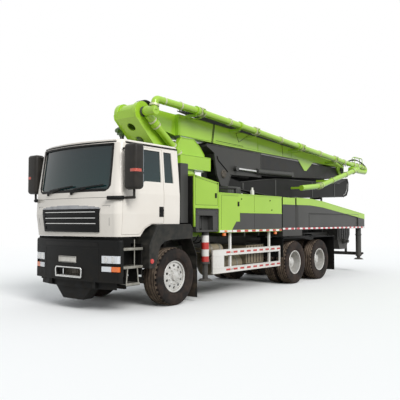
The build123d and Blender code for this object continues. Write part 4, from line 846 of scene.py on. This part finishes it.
for side, sideName, sideWord in sides:
    for name, leg, finish, low, high in stripes:
        sideBoxPiece(name + sideName, finish, side, low, high, body=f"{leg}_{sideWord}" if leg else "chassis")

    bm = bmesh.new()
    addPlate(bm, panels["grey"], side, panels["face"], panels["face"] + 0.003)
    finishPiece(f"midPanelGrey{sideName}", bm, greyPaint)
    bm = bmesh.new()
    for outline, proud in panels["edges"]:
        addPlate(bm, outline, side, panels["face"], panels["face"] + proud)
    finishPiece(f"panelEdges{sideName}", bm, greenPaint)
    bm = bmesh.new()
    for x, z in ((1.50, 1.268), (3.60, 1.270)):
        addSideBox(bm, side, (x - 0.045, 1.195, z), (x + 0.045, 1.235, z + 0.065), 0.008)
    addSideBox(bm, side, (1.46, 1.252, 1.350), (1.55, 1.266, 1.386), 0.004)
    finishPiece(f"sideLamps{sideName}", bm, amberLens)
    bm = bmesh.new()
    for points in panels["seams"]:
        addRun(bm, points, side * panels["seamFace"], 0.0025, 6)
    addRun(bm, ((2.62, 1.40), (2.62, 1.75)), side * panels["greyFace"], 0.0025, 6)
    finishPiece(f"panelSeams{sideName}", bm, matBlack)
    bm = bmesh.new()
    for x, z in panels["catches"]:
        addRod(bm, (x, side * 1.25, z), (x, side * 1.262, z), 0.014, 12)
    for x, z in ((1.16, 2.10), (1.98, 1.95)):
        addSideBox(bm, side, (x - 0.03, 1.25, z - 0.05), (x + 0.03, 1.262, z + 0.05), 0.008)
    finishPiece(f"panelCatches{sideName}", bm, matBlack)

    # Near-black sheet on the locker's front face: painted shade in the narrow gap behind the cab
    sideBoxPiece(f"lockerFrontShadeSheet{sideName}", matBlack, side, (0.434, 0.66, 1.39), (0.4415, 1.235, 2.46),
                 0.003)

    # The under-run guard: red dashes along both rails, a frame line round its plates, bolts
    bm = bmesh.new()
    for z in (0.9225, 0.56):
        for i in range(guard["dashes"]):
            x = guard["firstDash"] + guard["dashStep"] * i
            addSideBox(bm, side, (x, 1.200, z - 0.020), (x + guard["dashLength"], 1.203, z + 0.020))
    finishPiece(f"guardDashes{sideName}", bm, redPaint)
    bm = bmesh.new()
    addRims(bm, side, 1.1995, 1.204, guard["rims"])
    finishPiece(f"guardRims{sideName}", bm, guardPaint)
    bm = bmesh.new()
    for x in (1.80, 3.41):
        for z in (0.56, 0.92):
            addRod(bm, (x, side * 1.20, z), (x, side * 1.212, z), 0.014, 6)
    finishPiece(f"guardBolts{sideName}", bm, galvanised)

    # Front leg's head: rims, inner box plate and its jack's bands
    body = f"front_leg_{sideWord}"
    bm = bmesh.new()
    addRims(bm, side, 1.2500, 1.258, frontLeg["rims"])
    addSideBox(bm, side, (0.66, 1.062, 1.43), (1.02, 1.11, 1.66), 0.012)
    finishPiece(f"legHeadRims{sideName}", bm, greyPaint, body)
    bm = bmesh.new()
    for x in (0.56, 1.19):
        for z in (1.42, 1.75):
            addRod(bm, (x, side * 1.25, z), (x, side * 1.262, z), 0.014, 6)
    finishPiece(f"legHeadBolts{sideName}", bm, wornSteel, body)
    for colour, finish, heights, outer, half in frontLeg["bands"]:
        bm = bmesh.new()
        for z in heights:
            addRing(bm, (frontLeg["jackX"], side * frontLeg["jackY"], z), (0, 0, 1), 0.0745, outer, half)
        finishPiece(f"jack{colour}Bands{sideName}", bm, finish, body)

    # Rear leg: green top flange and stripe, the hinge's cap, the pocket's rim and the jack's rings
    body = f"rear_leg_{sideWord}"
    top, legY = rearLeg["top"], side * rearLeg["legY"]
    lower = [(x, z - drop) for (x, z), drop in zip(top, rearLeg["stripe"])]
    bm = bmesh.new()
    for i in range(len(top) - 1):
        addPlate(bm, [top[i], top[i + 1], lower[i + 1], lower[i]], side, 1.250, 1.256)
    finishPiece(f"beamStripe{sideName}", bm, greenPaint, body)
    bm = bmesh.new()
    for (x0, z0), (x1, z1) in zip(top, top[1:]):
        flange = [(x0, z0 - 0.004), (x1, z1 - 0.004), (x1, z1 + 0.010), (x0, z0 + 0.010)]
        addPlate(bm, flange, side, 0.995, 1.2585)
    finishPiece(f"beamTopFlange{sideName}", bm, greenPaint, body)
    bm = bmesh.new()
    addRod(bm, (rearLeg["pinX"], legY, 2.168), (rearLeg["pinX"], legY, 2.20), 0.105, 32, 0.095)
    addBolts(bm, (rearLeg["pinX"], legY, 2.19), 2, 0.078, 8, 0.011, 0.0, 0.018)
    finishPiece(f"beamPinCap{sideName}", bm, greyPaint, body)
    bm = bmesh.new()
    addRims(bm, side, 1.250, 1.257, rearLeg["rims"])
    finishPiece(f"beamPocketRim{sideName}", bm, greyPaint, body)
    bm = bmesh.new()
    for z in (0.52, 1.15):
        addRing(bm, (rearLeg["jackX"], legY, z), (0, 0, 1), 0.0845, 0.098, 0.012)
    addBolts(bm, (rearLeg["jackX"], legY, 1.145), 2, 0.091, 6, 0.008, 0.0, 0.030)
    finishPiece(f"rearJackRings{sideName}", bm, greyPaint, body)

    # Wheel covers: rolled edges, flap and its bar
    edgePiece(f"wheelCoverEdge{sideName}", blackPlastic, "chassis", 30, (side * 1.23,),
              (((3.955, 1.158), (6.895, 1.158)),), 0.011, 10)
    sideBoxPiece(f"rearFlap{sideName}", flapRubber, side, (6.902, 0.60, 0.205), (6.915, 1.20, 0.90), 0.003)
    bm = bmesh.new()
    addSideBox(bm, side, (6.914, 0.60, 0.86), (6.922, 1.20, 0.91), 0.002)
    for y in (0.66, 0.90, 1.14):
        addRod(bm, (6.91, side * y, 0.885), (6.932, side * y, 0.885), 0.012, 6)
    finishPiece(f"rearFlapBar{sideName}", bm, galvanised)


print("stage: deck and pump")
deck = {
    "floorZ": 2.118,
    "rails": (((1.30, 2.26), (1.95, 2.28)), ((1.32, 2.17), (1.32, 2.26)), ((1.93, 2.17), (1.93, 2.28))),
    "hoseFrom": -0.86, "hoseStep": 0.055, "hoses": 7,
    "columnHoseFrom": -0.26, "columnHoseStep": 0.07, "columnHoses": 5,
    "treadRows": 24, "treadFrom": 1.98, "treadStep": 0.078,
}
pump = {
    "z": 1.46, "y": 0.17,
    "flanges": ((0.113, 0.145, 0.022, (5.46, 6.15, 7.3, 8.22)), (0.073, 0.098, 0.020, (3.40, 4.9))),
    "boltRing": 0.128,
}
tanks = {
    "y": -0.82, "z": 0.64,
    "straps": ((1.55, -0.82, 0.64, 0.21), (2.25, -0.82, 0.64, 0.21), (1.25, -0.96, 0.98, 0.12),
               (1.55, -0.96, 0.98, 0.12)),          # x, y, z, radius
    "hoses": (
        (0.012, (1.65, -0.96, 0.98), (1.72, -0.96, 1.02), (1.85, -0.80, 1.10), (1.90, -0.55, 1.10)),
        (0.014, (2.45, -0.70, 0.70), (2.52, -0.72, 0.72), (2.62, -0.70, 0.92), (2.64, -0.60, 1.06)),
        (0.014, (1.04, -1.02, 1.30), (1.02, -0.98, 1.18), (1.05, -0.88, 1.12), (1.12, -0.60, 1.12)),
        (0.014, (0.88, -1.02, 1.30), (0.90, -0.96, 1.20), (0.96, -0.80, 1.14), (1.12, -0.50, 1.14)),
    ),
}
edgePiece("deckRails", matBlack, "chassis", 40, (-1.20, 1.20), deck["rails"], 0.022, 14)
bm = bmesh.new()
for side in (-1, 1):
    addSideBox(bm, side, (2.90, 0.96, deck["floorZ"]), (2.98, 1.02, 2.30), 0.006)
    addRod(bm, (2.94, side * 0.99, 2.29), (2.94, side * 0.99, 2.36), 0.03, 16, 0.022)
finishPiece("deckPosts", bm, guardPaint, angle=40)
bm = bmesh.new()
addBox(bm, (2.05, 0.30, deck["floorZ"]), (2.75, 0.86, 2.42), 0.02)
addBox(bm, (2.10, -0.90, deck["floorZ"]), (2.60, -0.52, 2.36), 0.02)
for x in spread(2.16, 2.54, 6):
    addBox(bm, (x - 0.012, -0.905, 2.16), (x + 0.012, -0.897, 2.32), 0.003)
finishPiece("hydraulicBoxes", bm, greyPaint)
bm = bmesh.new()
for i in range(deck["hoses"]):
    y = deck["hoseFrom"] + deck["hoseStep"] * i
    addHose(bm, [(2.60, y, 2.22), (2.78, y, 2.26 + 0.02 * (i % 3)), (3.05, y + 0.03, 2.19),
                 (3.5, y + 0.03, 2.155), (3.82, y + 0.02, 2.155)], 0.015)
for i in range(deck["columnHoses"]):
    y = deck["columnHoseFrom"] + deck["columnHoseStep"] * i
    addHose(bm, [(1.60, y, 2.70), (1.72, y, 2.60), (1.93, y, 2.40), (2.10, y, 2.26), (2.30, y, 2.17),
                 (3.6, y, 2.15)], 0.016)
finishPiece("deckHoses", bm, hoseRubber, angle=40)
bm = bmesh.new()
for row in range(deck["treadRows"]):
    x = deck["treadFrom"] + row * deck["treadStep"]
    for column in range(8):
        y = -0.93 + column * 0.266 + (0.06 if row % 2 else 0)
        addBox(bm, (x, y - 0.022, 2.119), (x + 0.012, y + 0.022, 2.124))
finishPiece("deckTread", bm, greyPaint)

bm = bmesh.new()
for y in (-pump["y"], pump["y"]):
    for inner, outer, half, places in pump["flanges"]:
        for x in places:
            addRing(bm, (x, y, pump["z"]), (1, 0, 0), inner, outer, half)
    addBolts(bm, (5.43, y, pump["z"]), 0, pump["boltRing"], 8, 0.010, 0.0, 0.07, 0.5)
finishPiece("pumpFlanges", bm, greyPaint)
hosePiece("pumpHoses", 0.017, [[(3.35, y, 1.60), (3.6, y, 1.66), (4.4, y, 1.62), (5.0, y, 1.66),
                                (5.16, y, 1.64)] for y in (-0.30, -0.25, 0.25, 0.30)])

bm = bmesh.new()
for x, y, z, radius in tanks["straps"]:
    addRing(bm, (x, y, z), (1, 0, 0), radius + 0.001, radius + 0.006, 0.022, 40)
finishPiece("tankStraps", bm, galvanised)
bm = bmesh.new()
for x, out in ((1.346, -1), (2.454, 1)):
    addSpun(bm, [(0.0, 0.0), (0.20, 0.0), (0.17, 0.028 * out), (0.08, 0.048 * out), (0.0, 0.052 * out)],
            (x, tanks["y"], tanks["z"]), (1, 0, 0), 40)
finishPiece("tankEnds", bm, tankPaint, angle=40)
bm = bmesh.new()
for radius, *points in tanks["hoses"]:
    addHose(bm, points, radius)
finishPiece("tankHoses", bm, hoseRubber, angle=40)
bm = bmesh.new()
for x in spread(2.62, 3.24, 6):
    addBox(bm, (x - 0.01, -1.066, 0.64), (x + 0.01, -1.058, 1.02), 0.003)
addBox(bm, (2.54, -1.068, 1.035), (3.32, -0.60, 1.052), 0.005)
finishPiece("batteryBoxRibs", bm, blackPlastic)


print("stage: hopper")
hopper = {
    "motorX": 8.70, "motorY": 0.757, "motorZ": 0.95,
    "lampCases": (-1.02, 1.02),
    "lamps": (("Red", redLens, (-1.10, -1.02, 1.02, 1.10)), ("Amber", amberLens, (-0.93, 0.93))),
    "dashes": 10, "firstDash": -1.08, "dashStep": 0.24,
}
bm = bmesh.new()
for x in spread(8.42, 9.12, 5):
    for side in (-1, 1):
        addSideBox(bm, side, (x - 0.012, 0.699, 1.02), (x + 0.012, 0.714, 1.41), 0.003)
for y in spread(-0.6, 0.6, 7):
    addBox(bm, (9.248, y - 0.012, 1.16), (9.264, y + 0.012, 1.41), 0.003)
finishPiece("hopperRibs", bm, greyPaint)
bm = bmesh.new()
for out in (-1, 1):
    centre = (hopper["motorX"], hopper["motorY"] * out, hopper["motorZ"])
    addSpun(bm, [(0.0, 0.0), (0.075, 0.0), (0.075, 0.03 * out), (0.05, 0.05 * out), (0.05, 0.13 * out),
                 (0.0, 0.13 * out)], centre, (0, 1, 0), 28)
finishPiece("agitatorMotors", bm, greyPaint)
bm = bmesh.new()
for y in hopper["lampCases"]:
    addBox(bm, (9.118, y - 0.16, 0.53), (9.192, y + 0.16, 0.59), 0.008)
finishPiece("rearLampCases", bm, blackPlastic)
for colour, finish, places in hopper["lamps"]:
    bm = bmesh.new()
    for y in places:
        addBox(bm, (9.188, y - 0.035, 0.535), (9.196, y + 0.035, 0.585), 0.003)
    finishPiece(f"rearLamp{colour}", bm, finish)
bm = bmesh.new()
for i in range(hopper["dashes"]):
    y = hopper["firstDash"] + hopper["dashStep"] * i
    addBox(bm, (9.1895, y - 0.055, 0.503), (9.1925, y + 0.055, 0.53))
finishPiece("rearBarTape", bm, redPaint)


print("stage: column")
column = {
    "pinX": 0.0, "pinZ": 3.76, "cheek": 0.30,
    "cylinderPin": (1.50, 2.96),
    "slope": ((-0.205, 3.74), (-0.185, 3.645), (0.30, 3.188), (0.82, 2.70)),    # x, z
    "rim": ((1.995, 3.005), (1.995, 3.075), (1.845, 3.238), (1.615, 3.390), (1.19, 3.390), (1.065, 3.215)),
    "base": (((0.955, 2.995), (1.995, 2.995)), ((0.955, 2.995), (0.955, 2.80)),
             ((1.995, 2.995), (1.995, 2.735))),
    "ringX": 1.35, "ringBolts": 36,
    "pipeY": -0.395,
    # x, z of each clamp ring, then the way of the pipe there
    "clamps": ((0.97, 3.02, 0.59, -0.81), (0.80, 3.145, -0.806, 0.592), (0.30, 3.508, -0.806, 0.592),
               (0.18, 3.60, -0.806, 0.592)),
}
bm = bmesh.new()
for y in (-column["cheek"], column["cheek"]):
    for (x0, z0), (x1, z1) in zip(column["slope"], column["slope"][1:]):
        addStrip(bm, [(x0, y, z0), (x1, y, z1)], (0, 0.011, 0), (-0.014, 0, -0.014))
    addRun(bm, column["rim"], y, 0.012)
for y in (-0.48, 0.48):
    for points in column["base"]:
        addRun(bm, points, y, 0.008)
finishPiece("columnEdges", bm, greenPaint, "slewing_column", 40)
bm = bmesh.new()
for out in (-1, 1):
    addSpun(bm, [(0.0, 0.0), (0.10, 0.0), (0.10, 0.014 * out), (0.088, 0.022 * out), (0.0, 0.022 * out)],
            (column["pinX"], out * 0.319, column["pinZ"]), (0, 1, 0), 36)
    addBolts(bm, (column["pinX"], 0.0, column["pinZ"]), 1, 0.072, 8, 0.010, out * 0.335, out * 0.352)
    addSpun(bm, [(0.0, 0.0), (0.065, 0.0), (0.065, 0.012 * out), (0.0, 0.014 * out)],
            (column["cylinderPin"][0], out * column["cheek"], column["cylinderPin"][1]), (0, 1, 0), 30)
finishPiece("columnPinCaps", bm, greyPaint, "slewing_column", 40)
bm = bmesh.new()
addBolts(bm, (column["ringX"], 0.0, 2.56), 2, 0.40, column["ringBolts"], 0.013, 0.0, 0.032)
finishPiece("slewRingBolts", bm, wornSteel)
bm = bmesh.new()
addBox(bm, (-0.02, 0.302, 3.36), (0.16, 0.43, 3.52), 0.012)
addBox(bm, (0.01, 0.33, 3.515), (0.12, 0.41, 3.60), 0.008)
addRod(bm, (0.03, 0.37, 3.33), (0.03, 0.37, 3.37), 0.03, 14)
addRod(bm, (0.11, 0.37, 3.33), (0.11, 0.37, 3.37), 0.025, 14)
addRod(bm, (-0.09, 0.365, 3.44), (-0.01, 0.365, 3.44), 0.045)
finishPiece("valveBlock", bm, darkGreen, "slewing_column")
hosePiece("valveHoses", 0.014, [
    [(x, 0.37, z), (x + 0.01, 0.37, z - 0.10), (x + 0.14, 0.36, z - 0.24), (x + 0.42, 0.345, z - 0.50),
     (end, 0.345, 2.82)] for x, z, end in ((0.03, 3.335, 1.0), (0.11, 3.335, 1.05), (0.07, 3.345, 1.1))],
    "slewing_column")
bm = bmesh.new()
for x, z, wayX, wayZ in column["clamps"]:
    addRing(bm, (x, column["pipeY"], z), (wayX, 0, wayZ), 0.0745, 0.094, 0.016)
finishPiece("columnPipeRings", bm, zincClamp, "slewing_column")


print("stage: boom")
boom = {
    "rootCap": (0.182, 0.168),                  # outer and inner radius round the column's pin
    "cheeks": (-0.30, 0.22),                    # the first section's sides
    "pipeEnds": ((1.35, -0.600, 3.960), (9.30, -0.640, 3.480)),
    "clampX": (1.50, 3.70, 6.11, 8.30),
    "couplingX": (2.55, 4.9, 7.2, 8.95),
    "endClamps": ((9.72, 3.468), (10.05, 3.462), (10.38, 3.455), (10.62, 3.451)),
    "straps": (2.33, 2.37),
    "trimLines": (((3.28, 3.75), (3.65, 3.83), (3.92, 3.81), (3.40, 3.54), (3.28, 3.75)),
                  ((2.45, 3.470), (3.60, 3.46)), ((2.45, 3.440), (3.60, 3.434)),
                  ((5.55, 3.72), (5.60, 3.395))),
    "rearPin": (9.55, 3.29),
    "hoop": ((9.78, 3.50), (9.78, 3.71), (9.86, 3.745), (10.36, 3.735), (10.42, 3.69), (10.42, 3.48)),
    "hoopBars": ((9.78, 3.62), (9.86, 3.745), (10.36, 3.735), (10.42, 3.60)),
}
pinZ = column["pinZ"]


def arcPoints(radius, first, last, step):
    turns = [math.radians(angle) for angle in range(first, last, step)]
    return [(radius * math.cos(turn), pinZ + radius * math.sin(turn)) for turn in turns]


def boomPipeAt(x):
    start, end = boom["pipeEnds"]
    share = (x - start[0]) / (end[0] - start[0])
    return tuple(a + share * (b - a) for a, b in zip(start, end))


def addPinCap(bm, x, y, z, out, size, rim=0.014, top=0.024, step=0.016, boltRing=0.68, bolt=0.010,
              proud=0.02):
    addSpun(bm, [(0.0, 0.0), (size, 0.0), (size, rim * out), (size - step, top * out), (0.0, top * out)],
            (x, y, z), (0, 1, 0), 36)
    addBolts(bm, (x, y, z), 1, size * boltRing, 6, bolt, out * proud, out * (proud + 0.014))


bm = bmesh.new()
outer, inner = boom["rootCap"]
addPlate(bm, arcPoints(outer, 60, 216, 6) + arcPoints(inner, 210, 54, -6), 1, -0.196, 0.196)
finishPiece("boomRootCap", bm, greenPaint, "boom_1", 40)

alongPipe = Vector([b - a for a, b in zip(*boom["pipeEnds"])]).normalized()
bm = bmesh.new()
for x in boom["clampX"]:
    for away in (-0.062, -0.030, 0.030, 0.062):
        addRing(bm, boomPipeAt(x + away), alongPipe, 0.074, 0.103, 0.010)
for x in boom["couplingX"]:
    for away in (-0.028, 0.028):
        addRing(bm, boomPipeAt(x + away), alongPipe, 0.074, 0.090, 0.012)
for x, z, way, outer in ((0.30, 3.984, (1, 0, -0.023), 0.0782), (0.80, 3.972, (1, 0, -0.023), 0.0875),
                         (0.017, 3.86, (0.17, 0, 1), 0.098)):
    addRing(bm, (x, -0.60, z), way, 0.0745, outer, 0.020)
for x, z in boom["endClamps"]:
    addRing(bm, (x, -0.64, z), (1, 0, -0.02), 0.0745, 0.100, 0.018)
finishPiece("boomPipeRings", bm, zincClamp, "boom_1")
bm = bmesh.new()
for x, y, z in map(boomPipeAt, boom["clampX"]):
    addBox(bm, (x - 0.045, y - 0.125, z - 0.03), (x + 0.045, y - 0.095, z + 0.03), 0.006)
    for rise in (-0.05, 0.05):
        addRod(bm, (x, y - 0.13, z + rise), (x, y - 0.085, z + rise), 0.011, 6)
    addBox(bm, (x - 0.02, y, z - 0.13), (x + 0.02, boom["cheeks"][0], z - 0.115), 0.003)
finishPiece("boomPipeClampLugs", bm, greenPaint, "boom_1")

bm = bmesh.new()
for x in boom["straps"]:
    for y in (-0.303, 0.223):
        addRun(bm, ((x + 0.03, 3.862), (x - 0.05, 3.405)), y, 0.010)
    for away, z in ((0.03, 3.868), (-0.05, 3.398)):
        addRod(bm, (x + away, -0.303, z), (x + away, 0.223, z), 0.010, 8)
finishPiece("boomStraps", bm, hoseRubber, "boom_1")
edgePiece("boomTrimLines", matBlack, "boom_1", 30, (-0.3015, 0.2215), boom["trimLines"], 0.006, 6)
bm = bmesh.new()
for y, out in zip(boom["cheeks"], (-1, 1)):
    low, high = sorted((y, y + out * 0.010))
    addBox(bm, (1.12, low, 3.432), (6.05, high, 3.446), 0.002)
    for x in (1.15, 4.3, 6.1, 8.75):
        addBox(bm, (x - 0.012, low, 3.40), (x + 0.012, high, 3.72 if x > 6 else 3.80), 0.002)
finishPiece("boomWeldSeams", bm, greenPaint, "boom_1")
bm = bmesh.new()
for y, out in zip(boom["cheeks"], (-1, 1)):
    addPinCap(bm, boom["rearPin"][0], y, boom["rearPin"][1], out, 0.105, 0.018, 0.03, 0.02, 0.7, 0.011, 0.03)
finishPiece("boomRearPinCaps", bm, greyPaint, "boom_1")
hosePiece("boomHoses", 0.012, [
    [(1.0, y + 0.07, 3.93), (1.4, y + 0.1, 3.885), (4.0, y + 0.1, 3.80), (6.5, y + 0.09, 3.66),
     (8.9, y + 0.07, 3.56), (9.3, y + 0.06, 3.50), (9.5, y + 0.06, 3.42)]
    for y in spread(-0.60, -0.42, 4)], "boom_1")

# Hoop over the pipe's rear end, with the hoses that it guards
bm = bmesh.new()
for y in (-0.685, -0.595):
    addRun(bm, boom["hoop"], y, 0.011, 10)
for x, z in boom["hoopBars"]:
    addRod(bm, (x, -0.685, z), (x, -0.595, z), 0.011, 10)
finishPiece("boomEndHoop", bm, greenPaint, "boom_1", 40)
hosePiece("boomEndHoses", 0.013, [
    [(9.30, y + 0.08, 3.52), (9.52, y + 0.02, 3.60), (9.85, y, 3.68 - sag), (10.30, y, 3.66 - sag),
     (10.55, y - 0.02, 3.56), (10.62, y - 0.04, 3.46)]
    for y, sag in ((-0.61, 0.0), (-0.64, 0.02), (-0.67, 0.04))], "boom_1")

# Hoses that arch over the column's pin on the first section's root
hosePiece("rootHoses", 0.018, [
    [(0.46, y, 3.90), (0.42, y, 4.00), (0.30, y, 4.043), (0.18, y, 4.040), (0.09, y, 3.99), (0.07, y, 3.93)]
    for y in spread(-0.16, -0.01, 4)], "boom_1")

secondArm = {
    "pin": (2.70, 2.70), "cheeks": (-0.34, 0.08),
    "edges": ((2.86, 2.418), (2.588, 2.418), (2.448, 2.652), (2.388, 2.892), (2.338, 3.166), (2.05, 3.292),
              (2.05, 3.342), (4.372, 3.342), (4.372, 2.728), (3.004, 2.708), (2.86, 2.418)),
    "slot": (((2.44, 3.10), (2.48, 3.01)), ((2.48, 3.01), (2.80, 2.81)), ((2.80, 2.81), (2.86, 2.76))),
    "cylinderY": -0.375, "cylinderZ": 2.86,
    "pipeY": -0.85, "bendX": 6.76, "pipeEndX": 9.55, "bendZ": 2.60, "pipeRings": (7.6, 8.6, 9.2),
    "rise": 0.69,               # from the pipe's bend to its end
}
pinX, armPinZ = secondArm["pin"]
bm = bmesh.new()
for y, out in zip(secondArm["cheeks"], (-1, 1)):
    addPinCap(bm, pinX, y, armPinZ, out, 0.10)
finishPiece("secondArmPinCaps", bm, wornSteel, "boom_2")
edgePiece("secondArmEdges", greyPaint, "boom_2", 40, secondArm["cheeks"], (secondArm["edges"],), 0.011)
# black rods along the head plate's curved slot: painted shade standing in for the slot's dark opening
edgePiece("secondArmSlotShade", matBlack, "boom_2", 30, (-0.343, 0.083), secondArm["slot"], 0.014)
cylinderY, cylinderZ = secondArm["cylinderY"], secondArm["cylinderZ"]
bm = bmesh.new()
addRod(bm, (3.20, cylinderY, cylinderZ), (4.15, cylinderY, cylinderZ), 0.036, 24)
finishPiece("foldRod", bm, chrome, "boom_2", 40)
bm = bmesh.new()
addRod(bm, (4.13, cylinderY, cylinderZ), (5.9, cylinderY, 2.90), 0.068, 28)
addSpun(bm, [(0.0, 0.0), (0.075, 0.0), (0.075, 0.05), (0.0, 0.05)], (4.11, cylinderY, cylinderZ),
        (1, 0, 0), 28)
addRod(bm, (3.17, -0.425, cylinderZ), (3.17, -0.335, cylinderZ), 0.065, 24)
addRod(bm, (5.94, -0.425, 2.902), (5.94, -0.30, 2.902), 0.072, 24)
finishPiece("foldBarrel", bm, greyPaint, "boom_2", 40)


def risenTo(x):
    return secondArm["bendZ"] + secondArm["rise"] * (x - secondArm["bendX"]) / (
        secondArm["pipeEndX"] - secondArm["bendX"])


bm = bmesh.new()
for x, z, way, outer, half in (
        (6.76, secondArm["bendZ"], (0.93, 0, 0.22), 0.097, 0.012),
        (6.66, secondArm["bendZ"] - 0.011 / 1.12, (1, 0, 0.10), 0.099, 0.014),
        (6.86, risenTo(6.86), (1, 0, 0.24), 0.099, 0.014)):
    addRing(bm, (x, secondArm["pipeY"], z), way, 0.0735, outer, half, 28)
for x in secondArm["pipeRings"]:
    addRing(bm, (x, secondArm["pipeY"], risenTo(x)), (0.97, 0, 0.24), 0.0735, 0.095, 0.012, 28)
finishPiece("secondPipeRings", bm, zincClamp, "boom_2")

thirdArm = {
    "low": ((2.61, 2.457), (2.87, 2.412), (5.45, 2.228), (9.70, 2.407)),
    "high": ((3.47, 2.552), (5.24, 2.747), (7.95, 2.802), (9.45, 2.842)),
    "tail": ((9.71, 2.405), (9.985, 2.468), (10.112, 2.645), (10.142, 2.90), (10.055, 3.042)),
    # x and z of a polished rod round the tail's curve: a painted highlight where the rounded end catches the
    # light
    "bright": ((9.70, 2.46), (9.90, 2.53), (10.02, 2.68), (10.05, 2.88)),
    "cheeks": (-0.292, 0.032),
}


def heightOn(points, x):
    for (x0, z0), (x1, z1) in zip(points, points[1:]):
        if x <= x1:
            return z0 + (z1 - z0) * (x - x0) / (x1 - x0)


bm = bmesh.new()
for y in thirdArm["cheeks"]:
    addRun(bm, thirdArm["tail"], y, 0.014)
    addRun(bm, thirdArm["low"], y, 0.010)
    addRun(bm, thirdArm["high"], y, 0.010)
finishPiece("thirdArmEdges", bm, greyPaint, "boom_3", 40)
# polished rods along the tail's curve, as a painted highlight
edgePiece("thirdArmPaintedHighlightEdge", polished, "boom_3", 40, (-0.2935, 0.0335), (thirdArm["bright"],), 0.010)
for name, armBody, place, size in (("fourthPinCap", "boom_3", (9.70, 0.44, 2.75), 0.10),
                                   ("fifthPinCap", "boom_4", (3.20, 0.65, 2.76), 0.085)):
    bm = bmesh.new()
    addPinCap(bm, *place, 1, size)
    finishPiece(name, bm, wornSteel, armBody)
bm = bmesh.new()
for x in (3.6, 5.0, 6.5, 8.4):
    addSpun(bm, [(0.0, 0.0), (0.012, 0.0), (0.012, 0.02), (0.0, 0.02)], (x, 0.64, 2.74), (0, 1, 0), 12)
addRod(bm, (3.4, 0.642, 2.868), (8.5, 0.642, 2.822), 0.010, 8)
finishPiece("fifthArmLine", bm, wornSteel, "boom_5")
bm = bmesh.new()
for x in (3.6, 5.2, 7.4, 9.0):
    addBox(bm, (x - 0.03, -0.297, heightOn(thirdArm["low"], x) + 0.02),
           (x + 0.03, -0.290, heightOn(thirdArm["high"], x) - 0.02), 0.002)
finishPiece("thirdArmPlates", bm, greyPaint, "boom_3")

rodStart = Vector((column["cylinderPin"][0], 0, column["cylinderPin"][1]))
rodEnd = Vector((0.476, 0, 3.606))              # the cylinder's eye on the first section
rodWay = (rodEnd - rodStart).normalized()
glandAt = rodStart + rodWay * ((rodEnd - rodStart).length - 0.085 - 0.13)
bm = bmesh.new()
addSpun(bm, [(0.0615, -0.03), (0.100, -0.03), (0.100, 0.0), (0.088, 0.012), (0.0615, 0.012)],
        glandAt, rodWay, 36)
finishPiece("cylinderGland", bm, greyPaint, "cylinder_barrel", 40)


print("stage: floor")
bm = bmesh.new()
bmesh.ops.create_grid(bm, x_segments=1, y_segments=1, size=view["floorSize"])
floorMesh = bpy.data.meshes.new("floor")
bm.to_mesh(floorMesh)
bm.free()
floor = bpy.data.objects.new("floor", floorMesh)
scene.collection.objects.link(floor)
# Matt pale paper: it gives back less light than it shows, and ends in the white backdrop
floorFinish, tree, shader, place = startMaterial("paleFloor", {"Roughness": 0.9, "Specular IOR Level": 0.1})
seen = seenDirectly(tree)
connect(tree, shader, {"Base Color": blendColour(tree, seen, view["floorBounce"], view["floor"])})
glow = addNode(tree, "ShaderNodeEmission", values={"Color": (1, 1, 1, 1), "Strength": 1.0})
away = addNode(tree, "ShaderNodeVectorMath", {"operation": "LENGTH"}, links={0: place}).outputs["Value"]
clear = calculate(tree, "MULTIPLY", ramp(tree, away, view["fadeFrom"], view["fadeTo"]), seen)
fade = addNode(tree, "ShaderNodeMixShader", links={0: clear, 1: shader.outputs[0], 2: glow.outputs[0]})
output = next(node for node in tree.nodes if node.type == "OUTPUT_MATERIAL")
connect(tree, output, {"Surface": fade.outputs[0]})
floorMesh.materials.append(floorFinish)
